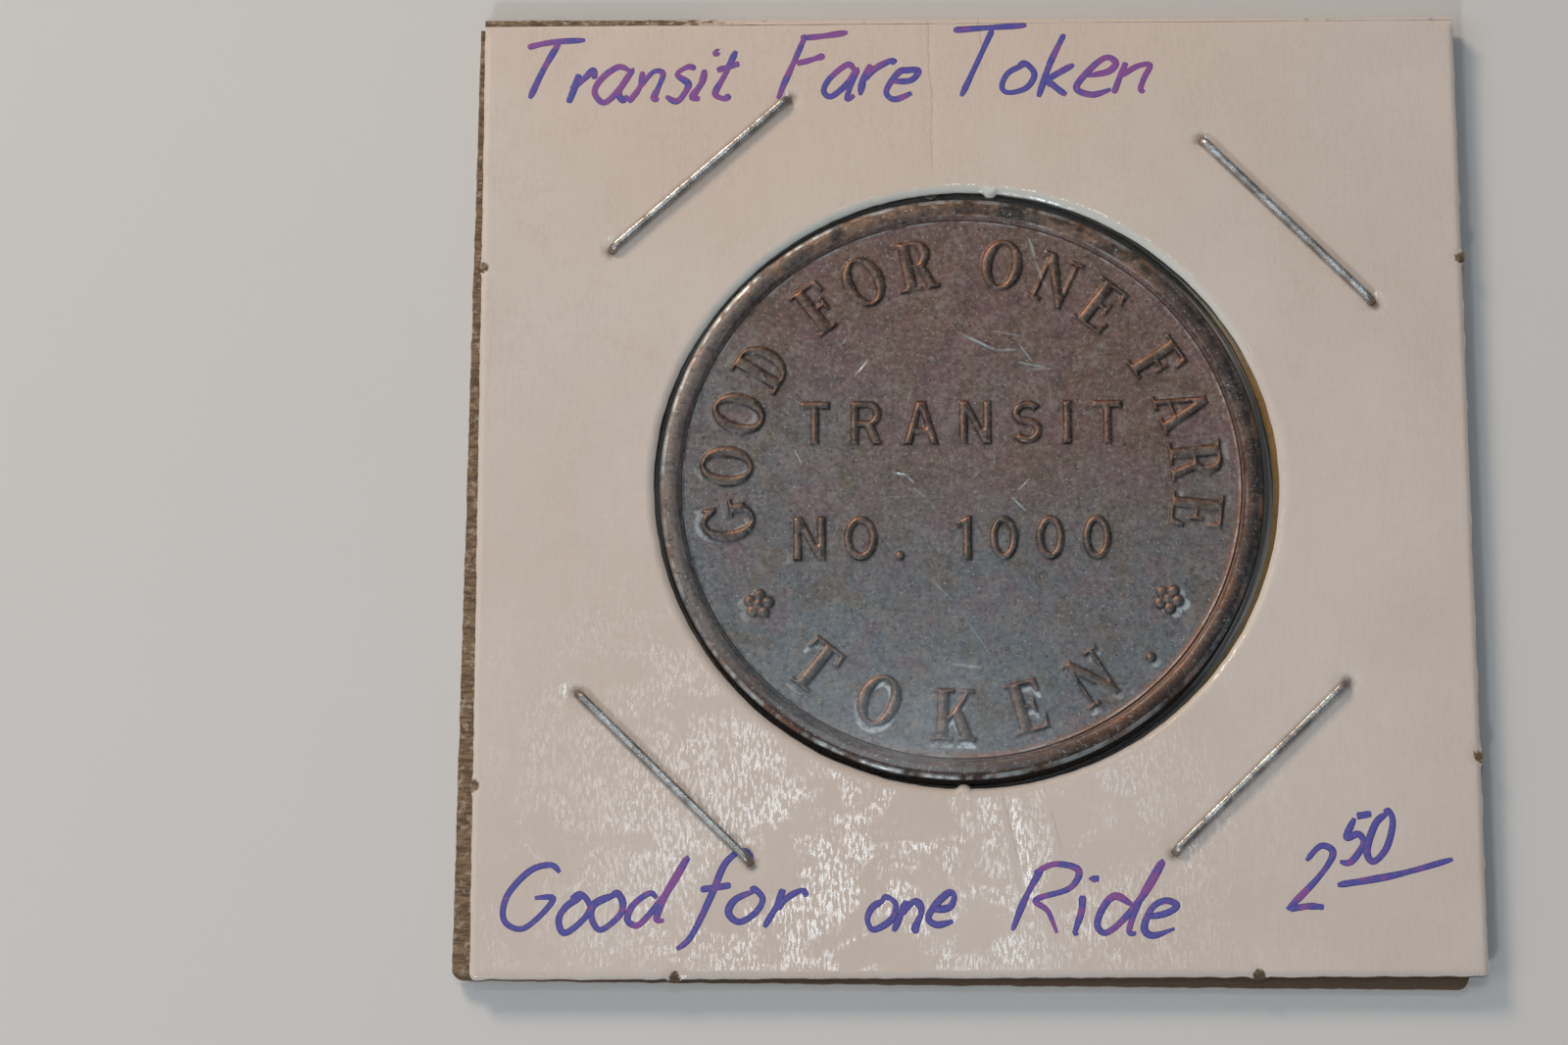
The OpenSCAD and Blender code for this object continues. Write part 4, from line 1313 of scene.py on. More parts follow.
@dataclass
class Leaf:
    """One leaf of the folded board, with its window, rolled cut edges and staple dents."""

    side: LeafSide
    name: str
    centre: Point
    turn: float
    corner: float
    window: Point
    nubs: Sequence[Point] = ()
    window_tabs: Sequence[float] = ()
    width: float = 50.8
    window_radius: float = 16.0
    fold_y: float = 25.3
    outer_roll: Point = (0.30, 0.15)
    inner_roll: Point = (0.42, 0.20)
    tab_size: Point = (0.34, 0.26)
    nub_size: Point = (0.42, 0.17)
    overhang: float = 0.22
    spacing: float = 0.22
    fold_corner: float = 0.04
    leg_reach: float = 6.1
    creases: Sequence[Scratch] = ()

    def __post_init__(self) -> None:
        """Reads the leaf's two faces from the frame and settles its outline."""
        low, high = box_mm(self.name)
        self.low, self.high = low.z, high.z
        self.thickness = self.high - self.low
        self.flips = self.side.value
        self.bare, self.coated = (self.low, self.high) if self.flips > 0 else (self.high, self.low)
        self.corners = self._corners()
        self.plain_outline = self._outline(step=None)

    def _corners(self) -> np.ndarray:
        """The four corners: bottom left, bottom right, and the two where the sides meet the fold."""
        half = self.width / 2
        c, s = math.cos(math.radians(self.turn)), math.sin(math.radians(self.turn))
        turn = np.array([[c, s], [-s, c]])
        made = [np.array([x, -half]) @ turn + self.centre for x in (-half, half)]
        for x in (half, -half):
            reach = (self.fold_y - self.centre[1] - s * x) / c
            made.append(np.array([x, reach]) @ turn + self.centre)
        return np.array(made)

    def _outline(self, step: float | None) -> np.ndarray:
        """Points round the leaf, anticlockwise.

        Args:
            step: distance between points on the straight stretches, or None for corners only.

        Returns:
            The outline, with the two lower corners rounded.
        """
        points: list[np.ndarray] = []
        count = len(self.corners)
        for i, corner in enumerate(self.corners):
            radius = self.corner if i < 2 else self.fold_corner
            before = self.corners[i - 1] - corner
            after = self.corners[(i + 1) % count] - corner
            before, after = before / np.hypot(*before), after / np.hypot(*after)
            middle = corner + radius * (before + after)
            for lean in np.linspace(0, math.pi / 2, 9):
                points.append(middle - radius * (after * math.cos(lean) + before * math.sin(lean)))
            if step is None:
                continue
            start = corner + after * radius
            following = self.corners[(i + 1) % count]
            next_radius = self.corner if (i + 1) % count < 2 else self.fold_corner
            stop = following - after * next_radius
            steps = int(np.hypot(*(stop - start)) / step)
            points.extend(start + (stop - start) * k / steps for k in range(1, steps))
        return np.array(points)

    def with_nubs(self, outline: np.ndarray) -> np.ndarray:
        """The outline pushed out at each nub that die cutting left."""
        around = np.roll(outline, -1, axis=0) - np.roll(outline, 1, axis=0)
        normal = np.stack([around[:, 1], -around[:, 0]], axis=1) / np.hypot(*around.T)[:, None]
        push = 0.014 * waves(outline, 1.7, 41) + 0.012 * waves(outline, 0.6, 42)
        for nub in self.nubs:
            near = np.clip(np.hypot(*(outline - nub).T) / self.nub_size[0], 0, 1)
            push += self.nub_size[1] * (1 - near ** 2) ** 0.7
        push[outline[:, 1] > self.fold_y - 0.3] = 0
        return outline + normal * push[:, None]

    def window_reach(self, angles: np.ndarray) -> np.ndarray:
        """The window's radius at each angle, less the tabs that die cutting left."""
        flat = headings(angles) * self.window_radius
        reach = self.window_radius + 0.012 * waves(flat, 2.2, 43) + 0.008 * waves(flat, 0.7, 44)
        for turn in self.window_tabs:
            away = np.angle(np.exp(1j * (angles - math.radians(turn)))) * self.window_radius
            near = np.clip(np.abs(away) / self.tab_size[0], 0, 1)
            reach -= self.tab_size[1] * (1 - near ** 2) ** 0.6
        return reach

    def relief(self, points: np.ndarray) -> np.ndarray:
        """How far the coated face stands below its own plane at each point."""
        drop = 0.010 * (1 + waves(points, 16.0, 31)) + 0.003 * (1 + waves(points, 3.0, 32))
        for place in STAPLES:
            for end in place.ends(self.leg_reach):
                gap = np.hypot(*(points - end).T)
                drop = drop + 0.09 * np.exp(-(gap / 0.45) ** 2)
            gap, _ = line_gap(points, *place.ends(self.leg_reach))
            drop = drop + 0.015 * np.exp(-(gap / 0.5) ** 2)
        for crease in self.creases:
            gap, _ = line_gap(points, *crease.ends())
            drop = drop + crease.depth * np.exp(-(gap / crease.width) ** 2)
        return drop

    def face_height(self, points: np.ndarray) -> np.ndarray:
        """Height of the coated face at each point, away from the cut edges."""
        return self.coated - self.flips * np.clip(self.relief(points), 0.0, self.thickness * 0.5)

    @staticmethod
    def _rolled(gap: np.ndarray, size: Point) -> np.ndarray:
        """Fall of a rolled edge at distance gap inside it, for a roll of that width and depth."""
        width, depth = size
        return depth * (1 - np.clip(gap / width, 0, 1)) ** 1.8

    def tuft(self, points: np.ndarray) -> np.ndarray:
        """How far each point belongs to the torn fibre of a nub, from 0 to 1."""
        best = np.zeros(len(points))
        for nub in self.nubs:
            best = np.maximum(best, 1 - np.hypot(*(points - nub).T) / 0.52)
        return smooth_step(best, 0.05, 0.45)

    def offsets(self, length: np.ndarray) -> np.ndarray:
        """Distances from the window's edge to each ring of the coated face, closest at both edges."""
        close = np.array([0.0, 0.02, 0.05, 0.09, 0.14, 0.20, 0.27, 0.36, 0.5])
        middle = close[-1] + np.linspace(0, 1, 44)[1:-1] * (length[:, None] - 2 * close[-1])
        near = close[None, :] * np.ones((len(length), 1))
        return np.concatenate([near, middle, length[:, None] - close[None, ::-1]], axis=1)

    def wall_levels(self, roll: Point) -> np.ndarray:
        """Distances from the bare face to each ring of a cut wall that ends in that roll."""
        return (self.thickness - roll[1] - 0.02) * np.linspace(0.03, 1.0, 6)

    def face_ring(self, flat: np.ndarray, column: np.ndarray) -> tuple[np.ndarray, dict[str, Any]]:
        """One ring of the coated face and its marks, at distance column from the window's edge."""
        edge_gap = -signed_distance(flat, [self.plain_outline])
        fold_side = smooth_step(flat[:, 1], self.fold_y - 0.6, self.fold_y - 0.2)
        roll = self._rolled(column, self.inner_roll)
        roll = roll + self._rolled(edge_gap, self.outer_roll) * (1 - 0.8 * fold_side)
        tuft = self.tuft(flat)
        rough = 0.05 * tuft * (1 + 0.6 * waves(flat, 0.25, 45))
        drop = np.clip(self.relief(flat) + roll + rough, 0.0, self.thickness * 0.7)
        ring = np.column_stack([flat, self.coated - self.flips * drop])
        return ring, {"coat": 1.0 - 0.7 * tuft, **self.scars(flat)}

    def build(self, material: bpy.types.Material) -> bpy.types.Object:
        """Lofts the leaf from its window to its outline and back underneath."""
        outline = self.with_nubs(self._outline(self.spacing))
        spoke = outline - self.window
        angles = np.arctan2(spoke[:, 1], spoke[:, 0])
        spread = headings(angles)
        foot = spread * self.window_reach(angles)[:, None] + self.window
        lean = self.overhang * smooth_step(np.sin(angles), 0.1, 0.8) * (self.side is LeafSide.FRONT)
        inner = foot - spread * lean[:, None]
        length = np.hypot(*(outline - inner).T)
        along = (outline - inner) / length[:, None]
        rings, marks = [], []
        rim_wall, edge_wall = self.wall_levels(self.inner_roll), self.wall_levels(self.outer_roll)
        for height in rim_wall:
            raised = float(smooth_step(height / rim_wall[-1], 0.25, 0.75))
            rings.append(lifted(foot + (inner - foot) * raised, self.bare + self.flips * height))
            marks.append({**BARE_CORE, "coat": 0.45 * raised})
        for column in self.offsets(length).T:
            ring, mark = self.face_ring(inner + along * column[:, None], column)
            rings.append(ring)
            marks.append(mark)
        whole = 1 - self.tuft(outline)
        for height in edge_wall[::-1]:
            rings.append(lifted(outline, self.bare + self.flips * height))
            coat = np.interp(height, (edge_wall[0], edge_wall[-1]), (0.0, 0.6))
            marks.append({**BARE_CORE, "coat": coat * whole})
        for share in (0.004, 0.3, 0.7, 0.996):
            rings.append(lifted(outline + (foot - outline) * share, self.bare))
            marks.append(BARE_CORE)
        shell = Shell()
        shell.loft(rings, True, marks)
        return shell.build(self.name + "_board", material, sharp=62.0)

    def scars(self, points: np.ndarray) -> dict[str, np.ndarray]:
        """Torn fibre and shade round each staple leg, at each point of the coated face."""
        torn = np.zeros(len(points))
        dirt = np.zeros(len(points))
        for place in STAPLES:
            for end in place.ends(self.leg_reach + 0.25):
                gap = np.hypot(*(points - end).T)
                torn = np.maximum(torn, np.exp(-((gap - 0.50) / 0.16) ** 2))
                dirt = np.maximum(dirt, np.exp(-(gap / 0.26) ** 2))
        return {"torn": torn * 0.55, "dirt": dirt * 0.8}


@dataclass
class Fold:
    """The crushed strip of board that joins the two leaves."""

    bulge_left: float = 0.46
    bulge_right: float = 0.22
    fold_y: float = 25.3
    steps: int = 220

    def __post_init__(self) -> None:
        """Reads the strip's height and ends from the frame."""
        low, high = box_mm("fold_strip")
        self.low, self.high = low.z, high.z
        self.left, self.right = low.x, high.x

    def build(self, material: bpy.types.Material) -> bpy.types.Object:
        """Lofts the rounded, crumpled strip from left to right."""
        half = (self.high - self.low) / 2
        middle = (self.high + self.low) / 2
        lean = np.linspace(-math.pi / 2, math.pi / 2, 21)
        rings, marks = [], []
        for x in np.linspace(self.left, self.right, self.steps):
            share = (x - self.left) / (self.right - self.left)
            bulge = self.bulge_left + (self.bulge_right - self.bulge_left) * share
            flat = np.column_stack([np.full(len(lean), x), lean * 2.0])
            crumple = 0.035 * waves(flat, 1.6, 51) + 0.02 * waves(flat, 0.5, 52)
            shape = np.sign(np.cos(lean)) * np.abs(np.cos(lean)) ** 0.7
            out = self.fold_y + np.clip(bulge * shape * (1 + crumple * 1.5), 0.0, None)
            out = np.minimum(out, self.fold_y + bulge)
            up = middle + (half - 0.02) * np.sin(lean) * (1 - 0.03 * np.abs(crumple))
            outer = np.column_stack([np.full(len(lean), x), out, up])
            seat = self.fold_y - 0.02
            inner = np.array([[x, seat, self.high - 0.03], [x, seat, self.low + 0.03]])
            rings.append(np.concatenate([outer, inner]))
            whole = 0.15 + 0.75 * float(smooth_step(x, -17.0, -9.0))
            cracked = np.clip(whole + 0.22 * waves(flat, 0.9, 53), 0, 1)
            marks.append({**BARE_CORE, "coat": np.concatenate([cracked, [0, 0]])})
        shell = Shell()
        starts = shell.loft(rings, False, marks)
        size = len(rings[0])
        shell.fan(starts[-1], size, rings[-1].mean(0), **BARE_CORE)
        shell.fan(starts[0], size, rings[0].mean(0), back=True, **BARE_CORE)
        return shell.build("fold_strip_board", material)


@dataclass
class Film:
    """One clear film: flat between the leaves and drawn tight over half the token."""

    side: LeafSide
    name: str
    centre: Point
    thickness: float = 0.05
    half_width: float = 23.5
    spokes: int = 480
    skirt_reach: float = 15.95

    def __post_init__(self) -> None:
        """Reads the film's levels from the frame."""
        low, high = box_mm(self.name)
        self.low, self.high = low.z, high.z

    def levels(self) -> list[Point]:
        """Radius and share of the dome's height, from the middle to the flat part."""
        rows = [(r, 1.0) for r in (0.4, 2, 4, 6, 8, 10, 12, 13.4, 14.2, 14.8, 15.1)]
        rows += [(15.3, 0.985), (15.45, 0.94), (15.55, 0.86), (15.61, 0.74)]
        rows += [(15.65, 0.58), (15.69, 0.40), (15.74, 0.22), (15.81, 0.08), (self.skirt_reach, 0.0)]
        return rows

    def build(self, material: bpy.types.Material) -> bpy.types.Object:
        """Lofts the film from the middle of the dome out to its square edge."""
        flips = self.side.value
        base, dome = (self.low, self.high) if flips > 0 else (self.high, self.low)
        base += flips * self.thickness / 2
        dome -= flips * self.thickness * 0.6
        angles = np.linspace(0, 2 * math.pi, self.spokes, endpoint=False)
        rings = []
        for radius, share in self.levels():
            ring = circle_points(radius, angles, base + (dome - base) * share)
            ring[:, 2] += 0.004 * waves(ring[:, :2], 6.0, 61) * (radius < 15.2)
            rings.append(ring)
        flat = headings(angles)
        stretch = self.half_width / np.abs(flat).max(axis=1)
        edge = flat * stretch[:, None] + self.centre
        start = rings[-1][:, :2]
        for share in (0.15, 0.5, 1.0):
            rings.append(lifted(start + (edge - start) * share, base))
        shell = Shell()
        starts = shell.loft(rings, False)
        shell.fan(starts[0], self.spokes, (0, 0, dome), back=True)
        piece = shell.build(self.name + "_sheet", material)
        wall = piece.modifiers.new("wall", "SOLIDIFY")
        wall.thickness = self.thickness * MM
        wall.offset = 0.0
        mesh = baked_mesh(piece)
        piece.modifiers.clear()
        piece.data = mesh
        return piece


@dataclass
class Staple:
    """One closed wire staple: crown on the front, legs turned in behind."""

    place: StaplePlace
    crown: float = 12.7
    width: float = 0.44
    clinch: float = 4.6
    bend: float = 0.32
    edge_round: float = 0.17

    def __post_init__(self) -> None:
        """Reads the wire's thickness and levels from the frame."""
        low, high = box_mm(self.place.name)
        self.thickness = high.z - box_mm("front_leaf")[1].z
        self.low, self.high = low.z, high.z

    @staticmethod
    def tree() -> GrowTree:
        """A tree that sweeps flattened wire along a flat path, stands it up and places it."""
        inputs = {"Bend radius": "NodeSocketFloat", "Wire width": "NodeSocketFloat",
                  "Wire thickness": "NodeSocketFloat", "Edge radius": "NodeSocketFloat",
                  "Half crown": "NodeSocketFloat", "Place": "NodeSocketVector", "Turn": "NodeSocketVector",
                  "Material": "NodeSocketMaterial"}
        tree = GrowTree("wire", inputs)
        path = tree.node("GeometryNodeFilletCurve", {
            "Curve": tree.given.outputs["Geometry"], "Count": 7, "Radius": tree.input("Bend radius"),
            "Limit Radius": True}, mode="POLY")
        dense = tree.node("GeometryNodeResampleCurve", {
            "Curve": path.outputs[0], "Length": tree.input("Edge radius")}, mode="LENGTH")
        reach = tree.position_x() / tree.input("Half crown")
        marked = tree.marked(dense.outputs[0], "reach", (reach ** 2) ** 0.5)
        level = tree.node("GeometryNodeSetCurveNormal", {"Curve": marked}, mode="Z_UP")
        box = tree.node("GeometryNodeCurvePrimitiveQuadrilateral", {
            "Width": tree.input("Wire thickness"), "Height": tree.input("Wire width")})
        section = tree.node("GeometryNodeFilletCurve", {
            "Curve": box.outputs[0], "Count": 4, "Radius": tree.input("Edge radius"),
            "Limit Radius": True}, mode="POLY")
        wire = tree.node("GeometryNodeCurveToMesh", {
            "Curve": level.outputs[0], "Profile Curve": section.outputs[0], "Fill Caps": True})
        stood = tree.node("GeometryNodeTransform", {
            "Geometry": wire.outputs[0], "Rotation": (math.pi / 2, 0, 0)})
        placed = tree.node("GeometryNodeTransform", {
            "Geometry": stood.outputs[0], "Translation": tree.input("Place"), "Rotation": tree.input("Turn")})
        tree.end(placed.outputs[0])
        return tree

    def path(self) -> list[Point]:
        """The wire's centreline, seen from the side, from one leg's tip to the other's."""
        half = self.crown / 2 - self.thickness / 2
        under = self.low + self.thickness / 2
        over = self.high - self.thickness / 2
        tip = self.crown / 2 - self.clinch
        return [(-tip, under), (-half, under), (-half, over), (-half * 0.6, over - 0.015), (0, over),
                (half * 0.55, over - 0.01), (half, over), (half, under), (tip, under)]

    def build(self, tree: GrowTree, material: bpy.types.Material) -> bpy.types.Object:
        """Sweeps the wire and puts the staple in its place."""
        points = lifted(np.array(self.path()), 0.0)
        host = place_lines([(points, np.ones(len(points)))], self.place.name + "_host")
        values = {"Bend radius": self.bend * MM, "Wire width": self.width * MM,
                  "Wire thickness": self.thickness * MM, "Edge radius": self.edge_round * MM,
                  "Half crown": self.crown / 2 * MM,
                  "Place": (self.place.x * MM, self.place.y * MM, 0.0),
                  "Turn": (0.0, 0.0, math.radians(self.place.turn)), "Material": material}
        return tree.grow(host, self.place.name + "_wire", values)


# --------------------------------------------------------------------------- handwriting

PEN: dict[str, tuple[float, list[list[Point]]]] = {
    "T": (1.3, [[(-0.2, 1.9), (0.5, 2.0), (1.4, 2.1)], [(0.65, 2.0), (0.58, 1.0), (0.5, 0)]]),
    "F": (1.15, [[(0.25, 2.0), (0.2, 1.0), (0.1, 0)], [(0.1, 1.9), (0.6, 2.0), (1.3, 2.1)],
                 [(0.2, 1.1), (0.55, 1.15), (0.95, 1.2)]]),
    "G": (1.65, [[(1.35, 1.75), (1.0, 2.05), (0.45, 1.8), (0.1, 1.1), (0.25, 0.3), (0.8, 0.0), (1.25, 0.35),
                  (1.35, 0.9), (0.85, 0.9)]]),
    "R": (1.25, [[(0.25, 2.0), (0.15, 1.0), (0.05, 0)],
                 [(0.0, 1.75), (0.5, 2.1), (1.15, 1.85), (1.05, 1.3), (0.35, 1.0), (0.7, 0.55), (1.2, 0.0)]]),
    "a": (1.05, [[(0.75, 0.85), (0.45, 1.0), (0.12, 0.65), (0.1, 0.2), (0.4, 0.0), (0.7, 0.35), (0.8, 0.95),
                  (0.75, 0.3), (0.85, 0.0), (1.0, 0.05)]]),
    "d": (1.1, [[(0.7, 0.85), (0.4, 1.0), (0.1, 0.65), (0.1, 0.2), (0.4, 0.0), (0.7, 0.35), (0.95, 1.2),
                 (1.05, 2.0), (0.88, 0.9), (0.85, 0.15), (1.0, 0.0)]]),
    "e": (0.85, [[(0.05, 0.5), (0.5, 0.6), (0.65, 0.85), (0.4, 1.02), (0.1, 0.75), (0.08, 0.25), (0.35, 0.0),
                  (0.75, 0.15)]]),
    "f": (0.75, [[(0.8, 1.85), (0.55, 2.05), (0.32, 1.7), (0.22, 0.8), (0.12, -0.3), (-0.05, -0.7)],
                 [(-0.02, 0.95), (0.3, 1.0), (0.62, 1.08)]]),
    "i": (0.45, [[(0.08, 0.95), (0.1, 0.5), (0.1, 0.08), (0.28, 0.0)],
                  [(0.16, 1.36), (0.2, 1.42), (0.24, 1.46)]]),
    "k": (0.9, [[(0.15, 2.0), (0.1, 1.0), (0.05, 0)], [(0.7, 1.0), (0.12, 0.5), (0.4, 0.35), (0.78, 0.0)]]),
    "n": (0.92, [[(0.05, 0.95), (0.08, 0.5), (0.05, 0)],
                 [(0.07, 0.45), (0.35, 0.92), (0.6, 0.88), (0.64, 0.5), (0.65, 0.08), (0.82, 0.0)]]),
    "o": (0.9, [[(0.45, 1.0), (0.1, 0.75), (0.05, 0.3), (0.35, 0.0), (0.7, 0.25), (0.75, 0.75), (0.45, 1.0),
                 (0.28, 0.95)]]),
    "r": (0.72, [[(0.05, 0.95), (0.1, 0.5), (0.08, 0)],
                  [(0.1, 0.5), (0.3, 0.85), (0.55, 0.97), (0.68, 0.88)]]),
    "s": (0.72, [[(0.6, 0.85), (0.35, 1.0), (0.1, 0.8), (0.35, 0.5), (0.55, 0.25), (0.32, 0.0), (0.0, 0.1)]]),
    "t": (0.66, [[(0.3, 1.6), (0.22, 0.8), (0.22, 0.18), (0.42, 0.0), (0.56, 0.1)],
                 [(-0.02, 1.08), (0.28, 1.12), (0.62, 1.16)]]),
    "2": (1.1, [[(0.05, 1.5), (0.35, 1.95), (0.75, 1.7), (0.6, 1.0), (0.05, 0.05)],
                [(0.05, 0.05), (0.5, 0.1), (0.95, 0.05)]]),
    "5": (1.05, [[(0.25, 1.95), (0.15, 1.15), (0.55, 1.2), (0.8, 0.75), (0.55, 0.1), (0.05, 0.1)],
                 [(0.25, 1.95), (0.55, 2.0), (0.9, 2.0)]]),
    "0": (1.05, [[(0.45, 2.0), (0.1, 1.5), (0.05, 0.5), (0.4, 0.0), (0.8, 0.5), (0.8, 1.5), (0.45, 2.0),
                  (0.3, 1.95)]]),
}


def eased(points: Sequence[Point], steps: int = 7) -> np.ndarray:
    """A smooth line through every one of the points.

    Args:
        points: the points that the line passes.
        steps: stretches between two points.

    Returns:
        The line's points.
    """
    p = np.array([points[0], *points, points[-1]], float)
    made = []
    for i in range(1, len(p) - 2):
        for k in range(steps):
            t = k / steps
            made.append(0.5 * (2 * p[i] + (p[i + 1] - p[i - 1]) * t
                               + (2 * p[i - 1] - 5 * p[i] + 4 * p[i + 1] - p[i + 2]) * t ** 2
                               + (3 * p[i] - p[i - 1] - 3 * p[i + 1] + p[i + 2]) * t ** 3))
    made.append(p[-2])
    return np.array(made)


@dataclass(frozen=True)
class PenWord:
    """A word written by hand: where its line starts, its size and its slope in degrees."""

    text: str
    x: float
    y: float
    size: float
    slope: float = 0.0
    spread: float = 1.12


@dataclass
class Handwriting:
    """Notes in pen on the front leaf, laid on its face as thin strokes of ink."""

    leaf: Leaf
    width: float = 0.37
    film: float = 0.030
    slant: float = 0.36
    unsteady: float = 0.045
    words: Sequence[PenWord] = (
        PenWord("Transit", -23.2, 21.0, 1.75, 0.5), PenWord("Fare", -9.6, 21.2, 1.75, 0.0),
        PenWord("Token", -0.9, 21.2, 1.9, 0.6, 1.2),
        PenWord("Good", -23.7, -23.0, 1.7, 0.8, 1.1), PenWord("for", -13.9, -22.7, 1.75, -1.0, 1.3),
        PenWord("one", -5.2, -23.0, 1.55, 0.0, 1.1), PenWord("Ride", 2.2, -23.3, 1.85, 0.0, 1.25),
        PenWord("2", 16.0, -22.2, 1.55, 2.0), PenWord("50", 18.6, -19.9, 1.15, 5.0),
    )
    underline: Sequence[Point] = ((18.6, -20.9), (21.5, -20.4), (24.4, -19.6))

    def strokes(self) -> list[np.ndarray]:
        """Every stroke as a line of points on the leaf."""
        source = np.random.default_rng(17)
        made = []
        for word in self.words:
            slope = math.radians(word.slope)
            ahead = 0.0
            for ch in word.text:
                advance, lines = PEN[ch]
                lift, grow = source.uniform(-0.08, 0.08), source.uniform(0.90, 1.10)
                for line in lines:
                    shaken = np.array(line) + source.normal(0, self.unsteady, (len(line), 2))
                    flat = eased(shaken) * grow
                    x = (flat[:, 0] * word.spread + flat[:, 1] * self.slant + ahead) * word.size
                    y = (flat[:, 1] + lift) * word.size
                    made.append(np.stack([word.x + x * math.cos(slope) - y * math.sin(slope),
                                          word.y + x * math.sin(slope) + y * math.cos(slope)], axis=1))
                ahead += advance * word.spread
        made.append(eased(self.underline))
        return made

    @staticmethod
    def tree() -> GrowTree:
        """A tree that lays a flat, round-edged stroke along every line."""
        tree = GrowTree("ink", {"Width": "NodeSocketFloat", "Film": "NodeSocketFloat",
                                "Material": "NodeSocketMaterial"})
        line = tree.given.outputs["Geometry"]
        level = tree.node("GeometryNodeSetCurveNormal", {"Curve": line}, mode="Z_UP")
        ring = tree.node("GeometryNodeCurvePrimitiveCircle", {"Resolution": 14, "Radius": 0.5})
        across = tree.position_x() * 2.0
        marked = tree.marked(ring.outputs[0], "across", (across ** 2) ** 0.5)
        size = tree.node("ShaderNodeCombineXYZ", {
            "X": tree.input("Width"), "Y": tree.input("Film"), "Z": 1.0})
        section = tree.node("GeometryNodeTransform", {"Geometry": marked, "Scale": size.outputs[0]})
        thick = tree.node("GeometryNodeInputRadius")
        stroke = tree.node("GeometryNodeCurveToMesh", {
            "Curve": level.outputs[0], "Profile Curve": section.outputs[0], "Scale": thick.outputs[0],
            "Fill Caps": True})
        tree.end(stroke.outputs[0])
        return tree

    def build(self, material: bpy.types.Material) -> bpy.types.Object:
        """Writes every word."""
        lines = []
        for index, line in enumerate(self.strokes()):
            run = np.linspace(0, 1, len(line))
            press = 0.94 + 0.12 * waves(np.column_stack([run * 3 + index, run]), 1.3, 71)
            press *= np.clip(0.55 + 6 * np.minimum(run, (1 - run) * 0.7), 0, 1)
            lines.append((np.column_stack([line, self.leaf.face_height(line)]), press))
        host = place_lines(lines, "pen_notes_host")
        values = {"Width": self.width * MM, "Film": self.film * MM, "Material": material}
        return self.tree().grow(host, "pen_notes", values)


# --------------------------------------------------------------------------- studio


@dataclass(frozen=True)
class Lamp:
    """A soft square light that looks at the token."""

    name: str
    place: tuple[float, float, float]
    size: float
    power: float
    colour: Colour


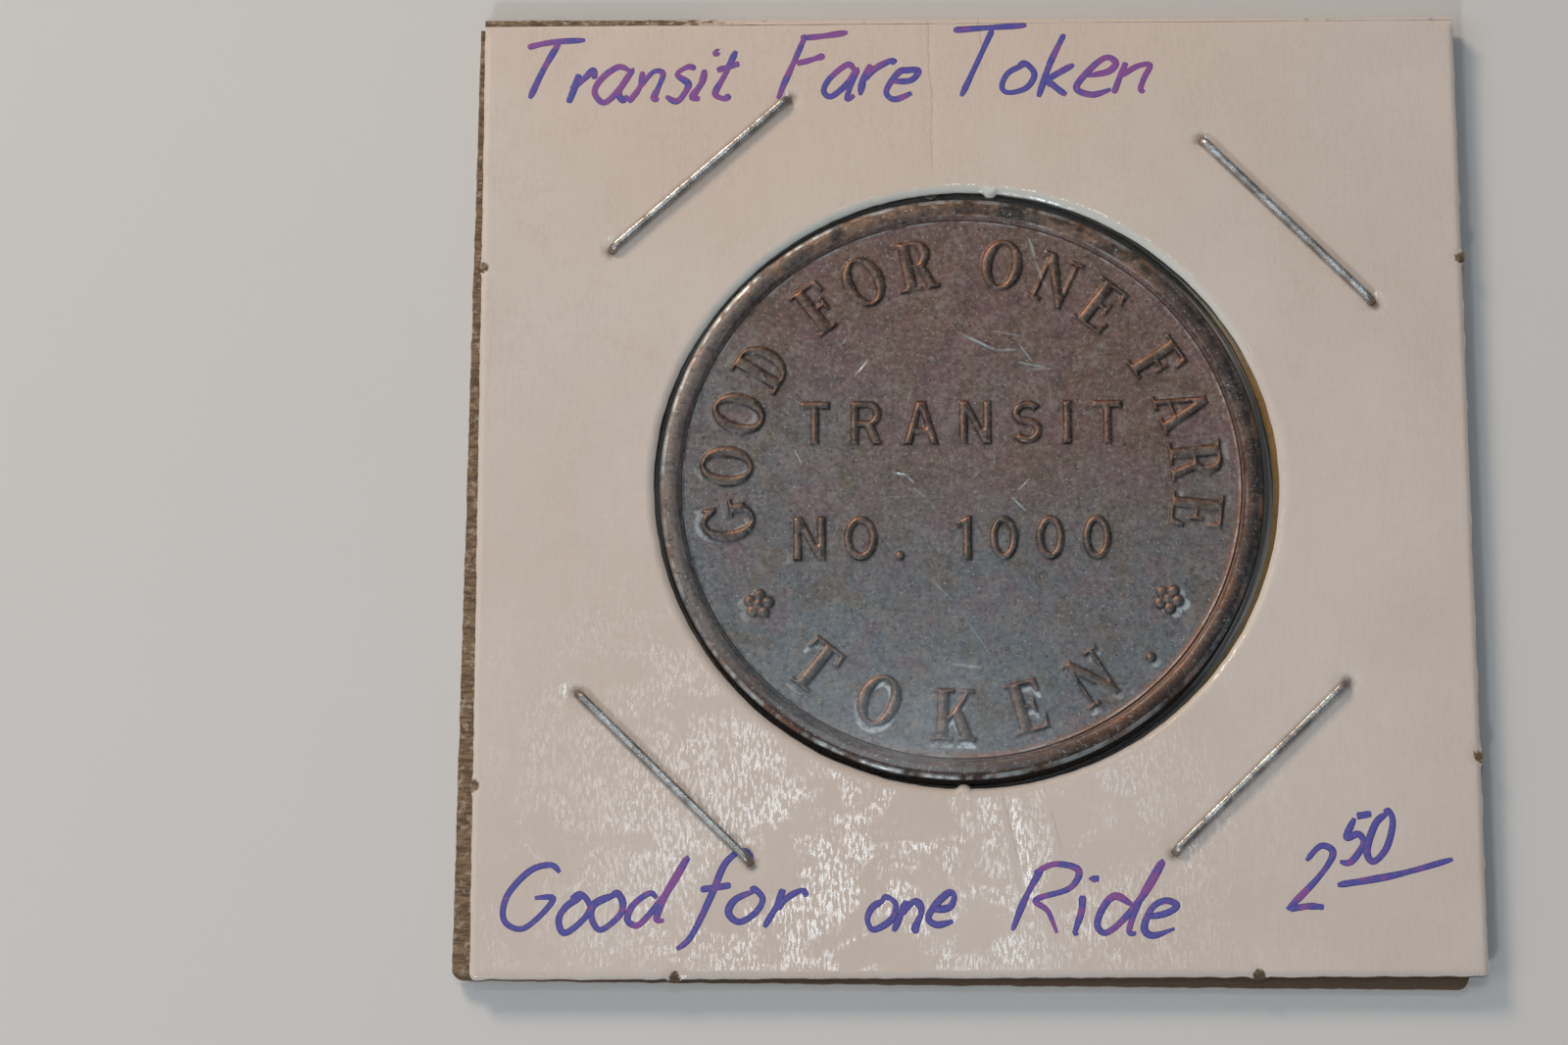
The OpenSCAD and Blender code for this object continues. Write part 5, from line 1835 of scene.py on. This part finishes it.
@dataclass
class Studio:
    """Pale floor, soft lights and the camera."""

    lamps: Sequence[Lamp] = (
        Lamp("key_light", (-200, 270, 240), 110, 0.74, (1.0, 0.82, 0.66)),
        Lamp("top_light", (-9, 66, 420), 42, 0.12, (0.82, 0.93, 1.0)),
        Lamp("low_light", (-110, -310, 280), 55, 0.38, (0.88, 0.95, 1.0)),
        Lamp("fill_light", (-220, -60, 220), 160, 0.11, (0.94, 0.96, 1.0)),
    )
    camera_place: tuple[float, float, float] = (-4.16, -72.72, 252.21)
    camera_target: tuple[float, float, float] = (-9.08, -1.91, 1.56)
    lens: float = 117.0
    floor_half: float = 900.0
    floor_cells: int = 4
    sky: Colour = (0.80, 0.86, 0.95)
    sky_power: float = 0.24

    def build_floor(self) -> None:
        """A wide pale floor in the plane that the holder rests on."""
        cells, row = self.floor_cells, self.floor_cells + 1
        grid = np.linspace(-self.floor_half, self.floor_half, row)
        shell = Shell()
        for y in grid:
            shell.add(np.stack([grid, np.full(row, y), np.zeros(row)], axis=1))
        corners = [row * j + i for j in range(cells) for i in range(cells)]
        shell.faces = [(k, k + 1, k + row + 1, k + row) for k in corners]
        shell.build("floor", PaleFloor().build())

    def build_lamps(self) -> None:
        """Area lights and an even sky."""
        for lamp in self.lamps:
            data = bpy.data.lights.new(lamp.name, "AREA")
            data.size = lamp.size * MM
            data.energy = lamp.power
            data.color = lamp.colour
            light = place_data(data, lamp.name)
            light.location = Vector(lamp.place) * MM
            light.rotation_euler = (-Vector(lamp.place)).to_track_quat("-Z", "Y").to_euler()
        world = bpy.data.worlds.new("studio_sky")
        world.use_nodes = True
        back = world.node_tree.nodes["Background"]
        back.inputs["Color"].default_value = (*self.sky, 1.0)
        back.inputs["Strength"].default_value = self.sky_power
        bpy.context.scene.world = world

    def build_camera(self) -> None:
        """The camera, above the lower edge and looking down."""
        data = bpy.data.cameras.new("camera")
        data.lens = self.lens
        data.sensor_width = 36.0
        data.clip_start = 0.01
        camera = place_data(data, "camera")
        place, target = Vector(self.camera_place) * MM, Vector(self.camera_target) * MM
        ahead = (target - place).normalized()
        right = ahead.cross(Vector((0, 1, 0))).normalized()
        up = right.cross(ahead)
        turn = Matrix((right, up, -ahead)).transposed().to_4x4()
        camera.matrix_world = Matrix.Translation(place) @ turn
        bpy.context.scene.camera = camera

    def build(self) -> None:
        """Sets the whole stage."""
        self.build_floor()
        self.build_lamps()
        self.build_camera()
        bpy.context.scene.view_settings.view_transform = "Standard"


# --------------------------------------------------------------------------- assembly


def register(piece: bpy.types.Object, body: str, slot: str, *nodes: str) -> None:
    """Puts piece on a body and hides the CAD nodes it stands for.

    Args:
        piece: the finished piece.
        body: body that it moves with.
        slot: the record's material slot; not used.
        nodes: CAD nodes that it replaces.
    """
    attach(piece, body)
    if nodes:
        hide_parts(*nodes)
    log.info("%s: %d faces on %s", piece.name, len(piece.data.polygons), body)


def build_holder() -> None:
    """Builds the leaves, fold, films, staples and the notes in pen."""
    board = CoatedBoard().build()
    front_centre, back_centre = (0.6, -0.1), (0.0, -0.35)
    front = Leaf(LeafSide.FRONT, "front_leaf", front_centre, 0.0, 0.3, FRONT_WINDOW,
                 nubs=((-24.8, 12.0), (-24.8, -15.6), (26.0, 12.2),
                       (26.0, -14.3), (-14.6, -25.5), (14.6, -25.5)),
                 window_tabs=(85.0, -91.0),
                 creases=(Scratch((-1.6, 25.3), (-1.35, 17.4), 0.3, 0.02),
                          Scratch((2.2, -16.5), (3.0, -21.0), 0.3, 0.015)))
    back = Leaf(LeafSide.BACK, "back_leaf", back_centre, -0.75, 0.6, (-0.05, 0.05), window_tabs=(95.0,))
    for leaf in (front, back):
        register(leaf.build(board), HOLDER, "coated_board", leaf.name)
    register(Fold().build(board), HOLDER, "kraft_core", "fold_strip")
    clear = ClearFilm().build()
    films = (Film(LeafSide.FRONT, "front_film", front_centre),
             Film(LeafSide.BACK, "back_film", back_centre))
    for film in films:
        register(film.build(clear), HOLDER, "clear_film", film.name)
    wire, tree = StapleWire().build(), Staple.tree()
    for place in STAPLES:
        register(Staple(place).build(tree, wire), HOLDER, "staple_wire", place.name)
    register(Handwriting(front).build(PenInk().build()), HOLDER, "pen_ink")


def main() -> None:
    """Builds the stage, the token and its holder, in that order."""
    logging.basicConfig(level=logging.INFO, format="%(name)s %(message)s")
    Studio().build()
    Token().build(TonedCopper())
    build_holder()


if __name__ == "__main__":
    main()
